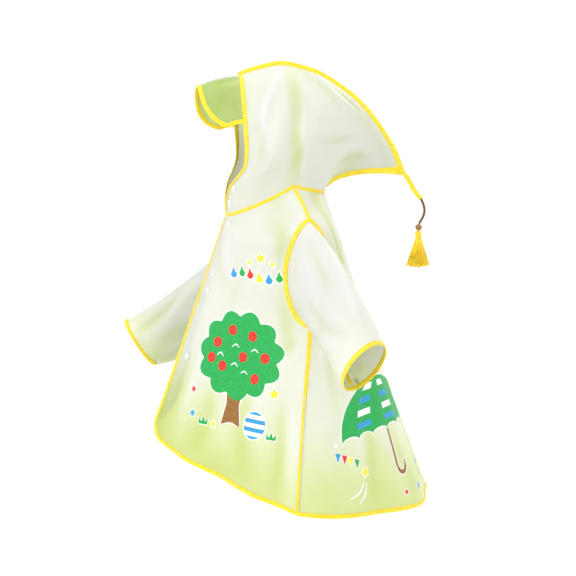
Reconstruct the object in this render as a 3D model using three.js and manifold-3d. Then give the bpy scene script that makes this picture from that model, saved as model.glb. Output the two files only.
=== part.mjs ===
// A child's hooded raincoat of thin frosted film, standing open as if worn.
// Millimetres. +X is the wearer's left, -Y the wearer's front, +Z up.
// The origin is the middle of the neck base, where the wearer's shoulders carry the coat.

import * as THREE from 'three';
import { mergeVertices } from 'three/addons/utils/BufferGeometryUtils.js';
import Module from 'manifold-3d';

const wasm = await Module();
wasm.setup();

// Driving dimensions
const FILM = 1.5; // wall that stands for the film
const GAP = 0.3; // clear space between neighbouring pieces
const TAPE_WIDTH = 8; // folded binding tape, from its fold to its edge
const TAPE_THICK = 3; // tape over both faces of the film
const SEAM_HALF = TAPE_WIDTH / 2; // a seam's tape lies half on each panel
const UNDERLAP = 0.11; // right front under the left one, as a share of the front's width
const LAYER_STEP = 3.6; // how far the underlap lies inside the left front
const LEFT_CORNER = { around: 0.11, drop: 0.075 }; // rounded front hem corners, as shares
const RIGHT_CORNER = { around: 0.28, drop: 0.22 };
const WRAP_ROUND = 0.03; // how softly the underlap turns past the middle, share of the width
const WRAP_START = 0.16; // where the right front starts to sink under the left one
const WRAP_RUN = [0.02, 0.12]; // shares that the front edge's slope is taken between
const BENT_GAP = 0.9; // clear space beside a tape on a sharply curved edge
const CROSS_GAP = 3; // extra room where one tape ends at another that crosses it aslant
const SLEEVE_SEAM_START = 6; // from the sleeve's root to the tape of its lower seam
const SLEEVE_SEAM_CUT = SEAM_HALF + 1.3;
const RIDGE_THICK = 3; // tape that stands up along the hood's middle seams
const SEAM_X = 2.2; // the hood's sides stop this far from the middle plane
const NAPE_END_CUT = 8;
const FACE_CLEARANCE = 0.4; // between the face edge and the visor's root
const SNAP_RADIUS = 6;
const SNAP_HEIGHT = 2.4;
const SNAP_SIDES = 12;
const SNAP_PROFILE = [[0, 0], [1, 0], [1, 0.35], [0.8, 0.8], [0.45, 1], [0, 1]]; // shares

// Armhole: a smooth loop across the side, between these shares of the drop
const SHOULDER_DROP = 0.17;
const UNDERARM_DROP = 0.45;
const ARMHOLE_FRONT = 0.16; // how far it bites into the front, share of the front's width
const ARMHOLE_BACK = 0.21;

// Mesh steps
const SHOULDER_STEPS = 3;
const ARMHOLE_STEPS = 8;
const SIDE_STEPS = 8;
const CORNER_STEPS = 4;
const AROUND_STEPS = 12;
const SLEEVE_STEPS = 14;
const HOOD_STEPS = 16;
const NAPE_STEPS = 10;
const VISOR_STEPS = 14;
const VISOR_ROWS = 4;

// Sections of the body from the neck seam (drop 0) to the hem (drop 1)
const BODY_COLUMNS = ['drop', 'halfWidth', 'sideY', 'sideZ', 'frontY', 'frontZ',
  'backY', 'backZ', 'frontRound', 'frontFall', 'backFall'];
const BODY_ROWS = [
  [0.00, 88, 25, 43, -102, -22, 102, 22, 0.95, 1.8, 1.6],
  [0.17, 185, 38, -15, -129, -98, 134, -84, 0.75, 1.5, 1.3],
  [0.31, 196, 34, -110, -151, -162, 163, -172, 0.55, 1.2, 1.3],
  [0.45, 216, 34, -212, -174, -226, 196, -262, 0.42, 1.0, 1.4],
  [0.70, 258, 14, -386, -216, -344, 256, -426, 0.32, 0.95, 1.5],
  [1.00, 312, -9, -570, -268, -484, 330, -622, 0.26, 0.95, 1.6],
];

// Large soft folds of the body: place is the share round the panel, depth at the hem
const FOLD_COLUMNS = ['place', 'halfSpan', 'depth', 'start'];
const FRONT_FOLDS = named(FOLD_COLUMNS, [
  [0.30, 0.07, 5, 0.30],
  [0.52, 0.08, -7, 0.36],
  [0.74, 0.07, 6, 0.50],
  [0.90, 0.05, -4, 0.55],
]);
const BACK_FOLDS = named(FOLD_COLUMNS, [
  [0.12, 0.10, 7, 0.20],
  [0.36, 0.09, -8, 0.30],
  [0.60, 0.09, 8, 0.40],
  [0.82, 0.07, -6, 0.50],
]);

// Hood outline in the middle plane, from the forehead over the crown to the tip
const CROWN_COLUMNS = ['share', 'y', 'z'];
const CROWN_ROWS = [
  [0.00, -75, 268],
  [0.10, -40, 280],
  [0.24, 13, 290],
  [0.34, 53, 283],
  [0.46, 95, 269],
  [0.58, 137, 244],
  [0.69, 175, 215],
  [0.79, 205, 184],
  [0.87, 233, 146],
  [0.95, 259, 104],
  [1.00, 277, 60],
];
// Lower middle seam, from the back of the neck to the tip
const NAPE_COLUMNS = ['share', 'y', 'z'];
const NAPE_ROWS = [
  [0.00, 102, 22],
  [0.08, 112, 31],
  [0.18, 128, 42],
  [0.33, 152, 50],
  [0.50, 184, 55],
  [0.75, 226, 56],
  [1.00, 270, 52],
];
// Edge of the face opening, from the front of the neck to the forehead
const FACE_COLUMNS = ['share', 'x', 'y', 'z'];
const FACE_ROWS = [
  [0.00, 2.2, -102, -22],
  [0.05, 6, -103, 8],
  [0.11, 22, -96, 40],
  [0.18, 42, -83, 62],
  [0.28, 59, -73, 84],
  [0.42, 67, -71, 116],
  [0.62, 66, -74, 164],
  [0.80, 55, -76, 212],
  [0.92, 31, -76, 250],
  [1.00, 2.2, -75, 260],
];
const HOOD_FULLNESS = 10; // how far the sides swell past a taut sheet
const HOOD_LEAN = 0.20; // the top of the hood leans to the wearer's right
const LEAN_START = 90; // height where the lean starts, and the height that it takes to build up
const LEAN_SPAN = 120;
const TIP_INSET = [13, 5]; // the sheets' corner lies this far forward of and above the tip
const FOREHEAD_BLEND = 0.15; // share of the crown that eases into the face edge
const NAPE_BLEND = 0.2; // share of the lower seam that eases into the neck seam
const TIP_BLEND = 0.2; // share of both middle seams that eases into the tip
const HOOD_FOLDS = named(FOLD_COLUMNS, [
  [0.27, 0.045, 5, 0.10],
  [0.40, 0.060, -8, 0.05],
  [0.62, 0.060, -7, 0.10],
]);

// Visor: sheet standing forward from the upper face edge
const VISOR_ROOT_SHARE = 0.58; // where on the face edge it starts
const VISOR_REACH = 84;
const VISOR_DIP = 20; // its front edge lies this much lower than its root
const VISOR_END = 0.93; // share of the half root where the sheet stops
const VISOR_OUTLINE = [2.4, 0.55]; // powers of its rounded front outline

// Sleeves: middle of the cuff, the way the arm leaves it, half sizes, bow and fullness halfway,
// and the space between the sleeve's root and the armhole tape
const SLEEVES = {
  left: { side: 1, cuff: [450, 90, -245], leave: [0.70, 0.53, -0.47], top: [0, 0, 1],
    halfTop: 53, halfFront: 53, bow: [14, -6, 22], ease: 0.05, tapeGap: 2 },
  right: { side: -1, cuff: [-250, -268, -345], leave: [-0.13, -0.83, -0.54], top: [0, 0, 1],
    halfTop: 60, halfFront: 45, bow: [-62, 2, -46], ease: 0.12, tapeGap: 3.4 },
};
const ARMHOLE_CENTRE = [196, 34, -112];

// Snap caps: share of the drop and share round the panel
const FRONT_SNAPS = [0.045, 0.27, 0.345, 0.63];
const SNAP_INSET = 23; // from the front edge
const CHIN_SNAPS = [0.042, 0.098];
const CHIN_BACK = 0.085;
const BACK_SNAP = { drop: 0.78, around: 0.84 };
const CUFF_SNAPS = { left: [0.045, 0.95], right: [0.9] };
const CUFF_SNAP_ALONG = 0.93;

// Tape tail, cord, bead and tassel at the hood's tip
const TAIL_POINTS = [[0, 274, 55.5], [0, 280.5, 48.5], [0, 289, 35], [0, 299, 18], [0, 312, 2]];
const TAIL_WIDTH = 10;
const TAIL_THICK = 4;
const TAIL_STEPS = 6;
const CORD_POINTS = [[0, 312.6, 1.3], [0, 319, -13], [0, 321, -27], [0, 317, -40],
  [0, 309.6, -52.2]];
const CORD_DIAMETER = 5.2;
const CORD_STEPS = 8;
const CORD_ARC_STEPS = 5;
const BEAD_RADIUS = 7;
const BEAD_SIDES = 14;
const BEAD_RINGS = 8;
const BEAD_CENTRE = [0, 309, -60];
const TASSEL_TOP = [0, 308.5, -67.4];
const TASSEL_LENGTH = 82;
const TASSEL_SPREAD = 29; // half width of the skirt at its foot
const TASSEL_SPREAD_X = 20;
const TASSEL_STRANDS = 72;
const TASSEL_NECK = 0.17; // width of the bundle at the head, share of the foot's
const TASSEL_FLARE = 1.1; // power of the skirt's widening
const TASSEL_UNEVEN = 0.06; // outer strands end this share of the length higher
const STRAND_RADIUS = 0.75;
const STRAND_STEPS = 3;
const HEAD_HEIGHT = 13;
const HEAD_SIDES = 14;
const ROOT_DEPTH = 4;
const HEAD_PROFILE = [[0, 0], [4.6, 0], [6.4, 3], [6.8, 7], [6.2, 11], [6.8, HEAD_HEIGHT], [0, HEAD_HEIGHT]];

const CREAM = 0xe8eddc;
const YELLOW = 0xf6dd22;
const VISOR_GREEN = 0xb4cc7a;
const WHITE = 0xf4f4ee;
const CORD_BROWN = 0x7a5418;

const SATIN = 0.45; // roughness of film and tape
const GLOSSY = 0.2;
const MOULDED = 0.38;
const FIBROUS = 0.7;

// Limits of the shape rules
const SLOPE_STEP = 0.004; // share of a sheet between the points that give its slope
const RUN_STEP = 0.01; // share of a seam curve to each side of a point that gives its run
const MERGE_NEAR = 1e-4; // corners nearer than this are one
const NEAREST_ROUNDS = 4;
const ALIKE = 0.94; // two edges whose inward ways have this cosine count as one
const SHARPEST_SEAM = 0.6;
const TRIM_MOST = 0.9; // share of the last step that a tape's end may lose

// Point and table helpers
const vec = (x, y, z) => new THREE.Vector3(x, y, z);

// One object for each row of a table, with the columns' names
function named(columns, rows) {
  return rows.map((row) => Object.fromEntries(columns.map((column, i) => [column, row[i]])));
}

function smoothStep(value) {
  const s = Math.min(Math.max(value, 0), 1);
  return s * s * (3 - 2 * s);
}

// Smooth value of every column between the rows of a table whose first column is its key
function tableAt(columns, rows, key) {
  const last = rows.length - 1;
  const x = Math.min(Math.max(key, rows[0][0]), rows[last][0]);
  let i = 0;
  while (i < last - 1 && x > rows[i + 1][0]) {
    i += 1;
  }
  const span = rows[i + 1][0] - rows[i][0];
  const s = (x - rows[i][0]) / span;
  const result = {};
  columns.forEach((name, c) => {
    const slopeAt = (k) => {
      const before = Math.max(k - 1, 0);
      const after = Math.min(k + 1, last);
      return (rows[after][c] - rows[before][c]) / (rows[after][0] - rows[before][0]);
    };
    const a = rows[i][c];
    const b = rows[i + 1][c];
    const rise = (2 * s ** 3 - 3 * s ** 2);
    result[name] = (rise + 1) * a - rise * b
      + (s ** 3 - 2 * s ** 2 + s) * span * slopeAt(i)
      + (s ** 3 - s ** 2) * span * slopeAt(i + 1);
  });
  return result;
}

// Depth of all of a table's folds at a place on a panel, growing along it
function foldDepth(folds, place, along) {
  let sum = 0;
  for (const fold of folds) {
    const distance = (place - fold.place) / fold.halfSpan;
    const grown = smoothStep((along - fold.start) / (1 - fold.start));
    sum += fold.depth * Math.exp(-distance * distance) * grown;
  }
  return sum;
}

// Surfaces of the panels, each a point for two shares
function frontPoint(drop, around, roundness = 0) {
  const s = tableAt(BODY_COLUMNS, BODY_ROWS, drop);
  const even = Math.sqrt(around * around + roundness * roundness);
  const x = s.halfWidth * ((1 - s.frontRound) * around
    + s.frontRound * Math.sin((Math.PI / 2) * around));
  const reach = (1 - s.frontRound) * (1 - even) + s.frontRound * Math.cos((Math.PI / 2) * even);
  const y = s.sideY + (s.frontY - s.sideY) * reach;
  const z = s.frontZ + (s.sideZ - s.frontZ) * even ** s.frontFall;
  const swell = foldDepth(FRONT_FOLDS, even, drop);
  const out = vec(x, y - s.sideY, 0).normalize().multiplyScalar(swell);
  return vec(x + out.x, y + out.y, z);
}

// The right front wraps softly past the middle and lies inside the left front there
function rightFrontPoint(drop, around) {
  const p = frontPoint(drop, around, WRAP_ROUND);
  p.x = -p.x;
  const near = frontPoint(drop, WRAP_RUN[0]);
  const far = frontPoint(drop, WRAP_RUN[1]);
  const slope = (far.y - near.y) / (far.x - near.x);
  const lean = around / Math.sqrt(around * around + WRAP_ROUND * WRAP_ROUND);
  const outward = vec(-lean * slope, -1, 0).normalize();
  return p.addScaledVector(outward, -LAYER_STEP * (1 - smoothStep(around / WRAP_START)));
}

function backPoint(drop, around) {
  const s = tableAt(BODY_COLUMNS, BODY_ROWS, drop);
  const x = s.halfWidth * Math.sin((Math.PI / 2) * around);
  const y = s.sideY + (s.backY - s.sideY) * Math.cos((Math.PI / 2) * around);
  const z = s.backZ + (s.sideZ - s.backZ) * Math.abs(around) ** s.backFall;
  const swell = foldDepth(BACK_FOLDS, 1 - Math.abs(around), drop);
  const out = vec(x, y - s.sideY, 0).normalize().multiplyScalar(swell);
  return vec(x + out.x, y + out.y, z);
}

// Share of the panel that the armhole takes at a drop
const ARMHOLE_MIDDLE = (SHOULDER_DROP + UNDERARM_DROP) / 2;
const ARMHOLE_HALF = (UNDERARM_DROP - SHOULDER_DROP) / 2;
function armholeBite(drop, depth) {
  const room = 1 - ((drop - ARMHOLE_MIDDLE) / ARMHOLE_HALF) ** 2;
  return room > 1e-9 ? depth * Math.sqrt(room) : 0;
}

// Once round an armhole: 0 is the underarm, then the back, the shoulder at 0.5 and the front
function armholePlace(share) {
  const turn = Math.PI * (1 - 2 * share);
  const drop = ARMHOLE_MIDDLE - ARMHOLE_HALF * Math.cos(turn);
  const bite = Math.abs(Math.sin(turn));
  return share < 0.5
    ? { panel: 'back', drop, around: 1 - ARMHOLE_BACK * bite }
    : { panel: 'front', drop, around: 1 - ARMHOLE_FRONT * bite };
}

function armholePoint(side, share) {
  const place = armholePlace(share);
  const p = place.panel === 'back'
    ? backPoint(place.drop, place.around)
    : frontPoint(place.drop, place.around);
  p.x *= side;
  return p;
}

function sleevePoint(sleeve, along, share) {
  const leave = vec(...sleeve.leave).normalize();
  const top = vec(...sleeve.top);
  top.addScaledVector(leave, -top.dot(leave)).normalize();
  const front = leave.clone().cross(top).multiplyScalar(sleeve.side);
  const turn = 2 * Math.PI * (share - 0.5);
  const middle = vec(...sleeve.cuff);
  const cuff = middle.clone()
    .addScaledVector(top, sleeve.halfTop * Math.cos(turn))
    .addScaledVector(front, sleeve.halfFront * Math.sin(turn));
  const root = vec(sleeve.side * ARMHOLE_CENTRE[0], ARMHOLE_CENTRE[1], ARMHOLE_CENTRE[2]);
  const centre = root.lerp(middle, along);
  const p = armholePoint(sleeve.side, share).lerp(cuff, along).sub(centre);
  p.multiplyScalar(1 + sleeve.ease * Math.sin(Math.PI * along));
  return p.add(centre).addScaledVector(vec(...sleeve.bow), 4 * along * (1 - along));
}

// Hood: the neck seam, the face edge and two middle seams bound each side
function neckPoint(share) {
  return share < 0.5 ? frontPoint(0, 2 * share) : backPoint(0, 2 * (1 - share));
}

function planeCurve(columns, rows, share) {
  const s = tableAt(columns, rows, share);
  return vec(0, s.y, s.z);
}

// Point beside a curve in the middle plane, on its left as it runs
function besidePoint(columns, rows, share, distance) {
  const before = planeCurve(columns, rows, Math.max(share - RUN_STEP, 0));
  const after = planeCurve(columns, rows, Math.min(share + RUN_STEP, 1));
  const run = after.sub(before).normalize();
  const p = planeCurve(columns, rows, share);
  return p.add(vec(0, -run.z, run.y).multiplyScalar(distance));
}

const crownTip = planeCurve(CROWN_COLUMNS, CROWN_ROWS, 1);
const HOOD_TIP = crownTip.clone().add(vec(SEAM_X, -TIP_INSET[0], TIP_INSET[1]));

function faceCurve(share) {
  const s = tableAt(FACE_COLUMNS, FACE_ROWS, share);
  return vec(s.x, s.y, s.z);
}

function crownSeam(share) {
  const p = besidePoint(CROWN_COLUMNS, CROWN_ROWS, share, -(TAPE_WIDTH + GAP));
  p.x = SEAM_X;
  const start = besidePoint(CROWN_COLUMNS, CROWN_ROWS, 0, -(TAPE_WIDTH + GAP));
  start.x = SEAM_X;
  const finish = besidePoint(CROWN_COLUMNS, CROWN_ROWS, 1, -(TAPE_WIDTH + GAP));
  finish.x = SEAM_X;
  p.addScaledVector(faceCurve(1).sub(start), 1 - smoothStep(share / FOREHEAD_BLEND));
  return p.addScaledVector(HOOD_TIP.clone().sub(finish), smoothStep(1 - (1 - share) / TIP_BLEND));
}

function napeSeam(share) {
  const p = besidePoint(NAPE_COLUMNS, NAPE_ROWS, share, TAPE_WIDTH + GAP);
  p.x = SEAM_X;
  const start = besidePoint(NAPE_COLUMNS, NAPE_ROWS, 0, TAPE_WIDTH + GAP);
  start.x = SEAM_X;
  const finish = besidePoint(NAPE_COLUMNS, NAPE_ROWS, 1, TAPE_WIDTH + GAP);
  finish.x = SEAM_X;
  const neck = neckPoint(1);
  neck.x = SEAM_X;
  p.addScaledVector(neck.sub(start), 1 - smoothStep(share / NAPE_BLEND));
  return p.addScaledVector(HOOD_TIP.clone().sub(finish), smoothStep(1 - (1 - share) / TIP_BLEND));
}

function neckEdge(share) {
  const p = neckPoint(share);
  p.x = SEAM_X + p.x * (1 - SEAM_X / BODY_ROWS[0][1]);
  return p;
}

function leanHood(p) {
  p.z += HOOD_LEAN * p.x * smoothStep((p.z - LEAN_START) / LEAN_SPAN);
  return p;
}

// back runs from the face edge to the middle seam behind, up from the neck to the crown
function hoodPoint(side, back, up) {
  const p = neckEdge(back).multiplyScalar(1 - up)
    .addScaledVector(crownSeam(back), up)
    .addScaledVector(faceCurve(up), 1 - back)
    .addScaledVector(napeSeam(up), back)
    .addScaledVector(neckEdge(0), -(1 - back) * (1 - up))
    .addScaledVector(neckEdge(1), -back * (1 - up))
    .addScaledVector(faceCurve(1), -(1 - back) * up)
    .addScaledVector(HOOD_TIP, -back * up);
  const swell = Math.sin(Math.PI * back) * Math.sin(Math.PI * up);
  p.x += HOOD_FULLNESS * swell;
  p.x += foldDepth(HOOD_FOLDS, back, 1 - up) * Math.sin(Math.PI * up);
  p.x *= side;
  return leanHood(p);
}

// across runs from the wearer's right to the left, forward from the face edge
function visorPoint(across, forward) {
  const reach = Math.abs(across);
  const root = faceCurve(1 - (1 - VISOR_ROOT_SHARE) * reach);
  root.x -= SEAM_X * (1 - reach);
  root.x *= Math.sign(across);
  const extent = Math.max(1 - reach ** VISOR_OUTLINE[0], 0) ** VISOR_OUTLINE[1];
  root.y -= FACE_CLEARANCE + (VISOR_REACH * extent) * forward;
  root.z -= VISOR_DIP * extent * forward * forward;
  return leanHood(root);
}

// A sheet is cut back inside its outline, so that its tape or its neighbour has room
function clampTo(range, value) {
  return Math.min(Math.max(value, range[0]), range[1]);
}

function partials(sheet, [a, b]) {
  const a0 = clampTo(sheet.rangeA, a - SLOPE_STEP);
  const a1 = clampTo(sheet.rangeA, a + SLOPE_STEP);
  const b0 = clampTo(sheet.rangeB, b - SLOPE_STEP);
  const b1 = clampTo(sheet.rangeB, b + SLOPE_STEP);
  const alongA = sheet.at(a1, b).sub(sheet.at(a0, b)).divideScalar(a1 - a0);
  const alongB = sheet.at(a, b1).sub(sheet.at(a, b0)).divideScalar(b1 - b0);
  return [alongA, alongB];
}

function normalAt(sheet, place) {
  const [alongA, alongB] = partials(sheet, place);
  return alongA.cross(alongB).normalize().multiplyScalar(sheet.facing);
}

// Place on a sheet nearest to the point a given step away from another place
function movedPlace(sheet, place, step) {
  const target = sheet.at(...place).add(step);
  let [a, b] = place;
  for (let round = 0; round < NEAREST_ROUNDS; round += 1) {
    const [alongA, alongB] = partials(sheet, [a, b]);
    const rest = target.clone().sub(sheet.at(a, b));
    const aa = alongA.dot(alongA);
    const ab = alongA.dot(alongB);
    const bb = alongB.dot(alongB);
    const ra = alongA.dot(rest);
    const rb = alongB.dot(rest);
    const whole = aa * bb - ab * ab;
    a = clampTo(sheet.rangeA, a + (ra * bb - rb * ab) / whole);
    b = clampTo(sheet.rangeB, b + (rb * aa - ra * ab) / whole);
  }
  return [a, b];
}

// A step that leaves two edges by their own depths
function cornerStep(inA, inB, depthA, depthB) {
  const c = inA.dot(inB);
  if (c > ALIKE) {
    return inA.clone().add(inB).normalize().multiplyScalar((depthA + depthB) / 2);
  }
  const shareA = (depthA - c * depthB) / (1 - c * c);
  const shareB = (depthB - c * depthA) / (1 - c * c);
  return inA.clone().multiplyScalar(shareA).addScaledVector(inB, shareB);
}

// Four sides of places, top and bottom left to right, left and right top to bottom
function cutBack(sheet, sides, depths) {
  const loop = [];
  const addSide = (places, depthList) => {
    for (let i = 0; i < places.length - 1; i += 1) {
      loop.push({ place: places[i], depth: depthList[i] });
    }
  };
  const backward = (list) => [...list].reverse();
  const listOf = (depth, places) => (Array.isArray(depth) ? depth : places.slice(1).map(() => depth));
  addSide(sides.top, listOf(depths.top, sides.top));
  addSide(sides.right, listOf(depths.right, sides.right));
  addSide(backward(sides.bottom), backward(listOf(depths.bottom, sides.bottom)));
  addSide(backward(sides.left), backward(listOf(depths.left, sides.left)));
  const points = loop.map((s) => sheet.at(...s.place));
  const count = loop.length;
  const inward = loop.map((s, i) => {
    const run = points[(i + 1) % count].clone().sub(points[i]).normalize();
    const middle = s.place.map((v, k) => (v + loop[(i + 1) % count].place[k]) / 2);
    return normalAt(sheet, middle).cross(run).normalize();
  });
  const centre = points.reduce((sum, p) => sum.add(p), vec(0, 0, 0)).divideScalar(count);
  const vote = points.reduce((sum, p, i) => sum + inward[i].dot(centre.clone().sub(p)), 0);
  if (vote < 0) {
    inward.forEach((v) => v.negate());
  }
  const moved = loop.map((s, i) => {
    const before = (i + count - 1) % count;
    const step = cornerStep(inward[before], inward[i], loop[before].depth, s.depth);
    return movedPlace(sheet, s.place, step);
  });
  const nTop = sides.top.length - 1;
  const nSide = sides.right.length - 1;
  const around = (start, n) => Array.from({ length: n + 1 }, (_, k) => moved[(start + k) % count]);
  return {
    top: around(0, nTop),
    right: around(nTop, nSide),
    bottom: around(nTop + nSide, nTop).reverse(),
    left: around(2 * nTop + nSide, nSide).reverse(),
  };
}

// A grid of places filled in between four sides
function spread(sides) {
  const rows = sides.left.length - 1;
  const columns = sides.top.length - 1;
  const grid = [];
  for (let i = 0; i <= rows; i += 1) {
    const v = i / rows;
    const line = [];
    for (let j = 0; j <= columns; j += 1) {
      const w = j / columns;
      line.push([0, 1].map((k) => (1 - v) * sides.top[j][k] + v * sides.bottom[j][k]
        + (1 - w) * sides.left[i][k] + w * sides.right[i][k]
        - (1 - v) * (1 - w) * sides.top[0][k] - (1 - v) * w * sides.top[columns][k]
        - v * (1 - w) * sides.bottom[0][k] - v * w * sides.bottom[columns][k]));
    }
    grid.push(line);
  }
  return grid;
}

// Closed solid from rings of points; each ring is a closed section of the solid
function solidFromSections(sections, loop = false) {
  const size = sections[0].length;
  const count = sections.length;
  const positions = [];
  sections.forEach((section) => section.forEach((p) => positions.push(p.x, p.y, p.z)));
  const faces = [];
  const last = loop ? count : count - 1;
  for (let i = 0; i < last; i += 1) {
    const next = (i + 1) % count;
    for (let k = 0; k < size; k += 1) {
      const k1 = (k + 1) % size;
      const a = i * size + k;
      const b = i * size + k1;
      const c = next * size + k1;
      const d = next * size + k;
      faces.push(a, b, c, a, c, d);
    }
  }
  if (!loop) {
    for (let k = 1; k < size / 2; k += 1) {
      const a = k - 1;
      const b = k;
      const c = size - 1 - k;
      const d = size - k;
      const end = (count - 1) * size;
      faces.push(a, c, b, a, d, c);
      faces.push(end + a, end + b, end + c, end + a, end + c, end + d);
    }
  }
  return closedGeometry(positions, faces);
}

function closedGeometry(positions, faces) {
  let volume = 0;
  const corner = (k) => vec(positions[3 * k], positions[3 * k + 1], positions[3 * k + 2]);
  for (let f = 0; f < faces.length; f += 3) {
    volume += corner(faces[f]).dot(corner(faces[f + 1]).cross(corner(faces[f + 2])));
  }
  if (volume < 0) {
    for (let f = 0; f < faces.length; f += 3) {
      [faces[f + 1], faces[f + 2]] = [faces[f + 2], faces[f + 1]];
    }
  }
  const geometry = new THREE.BufferGeometry();
  geometry.setAttribute('position', new THREE.Float32BufferAttribute(positions, 3));
  geometry.setIndex(faces);
  geometry.computeVertexNormals();
  return geometry;
}

// Wall of film: each row of places gives one section, out along the face and back inside it
function filmGeometry(sheet, grid) {
  const sections = grid.map((line) => {
    const outer = line.map((place) => sheet.at(...place));
    const inner = line.map((place, j) => outer[j].clone().addScaledVector(normalAt(sheet, place), -FILM));
    return [...outer, ...inner.reverse()];
  });
  return solidFromSections(sections);
}

// Stations of a taped edge, with the way across it toward another place of the sheet
function tapeStations(sheetPlaces, toward, closed = false) {
  const { sheet, places } = sheetPlaces;
  const points = places.map((place) => sheet.at(...place));
  const count = points.length;
  const stations = points.map((p, i) => {
    const before = closed ? points[(i + count - 1) % count] : points[Math.max(i - 1, 0)];
    const after = closed ? points[(i + 1) % count] : points[Math.min(i + 1, count - 1)];
    const runA = p.clone().sub(before);
    const runB = after.clone().sub(p);
    const normal = normalAt(sheet, places[i]);
    const sideOf = (run) => normal.clone().cross(run).normalize();
    const inA = runA.length() > 0 ? sideOf(runA) : sideOf(runB);
    const inB = runB.length() > 0 ? sideOf(runB) : sideOf(runA);
    return { point: p, normal, across: cornerStep(inA, inB, 1, 1) };
  });
  const middle = stations[Math.floor(count / 2)];
  const aim = sheet.at(...toward).sub(middle.point);
  if (middle.across.dot(aim) < 0) {
    stations.forEach((s) => s.across.negate());
  }
  return stations;
}

// Flat tape beside an edge, from near to far across the sheet
function edgeTape(stations, near, far, closed = false) {
  const above = (TAPE_THICK - FILM) / 2;
  const below = (TAPE_THICK + FILM) / 2;
  const sections = stations.map((s) => {
    const at = (across, up) => s.point.clone().addScaledVector(s.across, across)
      .addScaledVector(s.normal, up);
    return [at(near, above), at(far, above), at(far, -below), at(near, -below)];
  });
  return solidFromSections(sections, closed);
}

// Tape over a seam, half on each sheet and bent along the seam between them
function seamTape(stationsA, stationsB) {
  const above = (TAPE_THICK - FILM) / 2;
  const below = (TAPE_THICK + FILM) / 2;
  const sections = stationsA.map((a, i) => {
    const b = stationsB[i];
    const bend = Math.max(1 + a.normal.dot(b.normal), SHARPEST_SEAM);
    const ridge = a.normal.clone().add(b.normal).divideScalar(bend);
    const at = (s, across, up) => s.point.clone().addScaledVector(s.across, across)
      .addScaledVector(s.normal, up);
    return [
      at(a, SEAM_HALF, above),
      a.point.clone().addScaledVector(ridge, above),
      at(b, SEAM_HALF, above),
      at(b, SEAM_HALF, -below),
      a.point.clone().addScaledVector(ridge, -below),
      at(a, SEAM_HALF, -below),
    ];
  });
  return solidFromSections(sections);
}

// Ends of a run of stations moved in along it
function trimmed(stations, atStart, atEnd) {
  const list = stations.map((s) => ({ ...s, point: s.point.clone() }));
  const shift = (from, to, distance) => {
    const run = to.point.clone().sub(from.point);
    const length = run.length();
    from.point.addScaledVector(run, Math.min(distance / length, TRIM_MOST));
  };
  shift(list[0], list[1], atStart);
  shift(list[list.length - 1], list[list.length - 2], atEnd);
  return list;
}

const coat = new THREE.Group();

function addPiece(name, geometry, color, roughness = SATIN) {
  const material = new THREE.MeshStandardMaterial({ color, roughness, metalness: 0 });
  const mesh = new THREE.Mesh(geometry, material);
  mesh.name = name;
  coat.add(mesh);
  return mesh;
}

function ratios(count, from = 0, to = 1) {
  return Array.from({ length: count + 1 }, (_, i) => from + ((to - from) * i) / count);
}

// Body: stations down the side, shared by the fronts, the back and their seams
const sideStations = [
  ...ratios(SHOULDER_STEPS, 0, SHOULDER_DROP).slice(0, -1).map((drop) => ({ drop, share: null })),
  ...ratios(ARMHOLE_STEPS).slice(0, -1).map((part) => ({ share: part })),
  ...ratios(SIDE_STEPS, UNDERARM_DROP, 1).map((drop) => ({ drop, share: null })),
].map((s) => (s.share === null ? s : {
  drop: ARMHOLE_MIDDLE - ARMHOLE_HALF * Math.cos(Math.PI * s.share),
  share: s.share,
}));
const sidePlaces = (bite) => sideStations.map(({ drop }) => [drop, 1 - armholeBite(drop, bite)]);
const shoulderRow = SHOULDER_STEPS;
const underarmRow = SHOULDER_STEPS + ARMHOLE_STEPS;
const EDGE_CUT = TAPE_WIDTH + GAP;
const SEAM_CUT = SEAM_HALF + GAP;
const BENT_EDGE_CUT = TAPE_WIDTH + BENT_GAP;
const BENT_SEAM_CUT = SEAM_HALF + BENT_GAP;
const armholeCut = (hand) => SLEEVES[hand].tapeGap + TAPE_WIDTH + BENT_GAP;
const sideCuts = (hand) => sideStations.slice(1).map((_, i) => (
  i >= shoulderRow && i < underarmRow ? armholeCut(hand) : SEAM_CUT));

function frontSides(start, corner) {
  const right = sidePlaces(ARMHOLE_FRONT);
  const rows = right.length - 1;
  const straight = rows - CORNER_STEPS;
  const cornerAt = (part) => {
    const turn = (Math.PI / 2) * part;
    return [1 - corner.drop + corner.drop * Math.sin(turn),
      start + corner.around * (1 - Math.cos(turn))];
  };
  const scale = (1 - corner.drop) / sideStations[straight].drop;
  const left = [
    ...sideStations.slice(0, straight).map(({ drop }) => [drop * scale, start]),
    ...ratios(CORNER_STEPS, 0, 0.5).map(cornerAt),
  ];
  const extra = start < 0 ? 1 : 0;
  const top = [
    ...(extra ? [[0, start]] : []),
    ...ratios(AROUND_STEPS).map((around) => [0, around]),
  ];
  const flat = AROUND_STEPS + extra - CORNER_STEPS;
  const bottom = [
    ...ratios(CORNER_STEPS, 0.5, 1).slice(0, -1).map(cornerAt),
    ...ratios(flat, start + corner.around, 1).map((around) => [1, around]),
  ];
  return { top, right, bottom, left };
}

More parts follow.
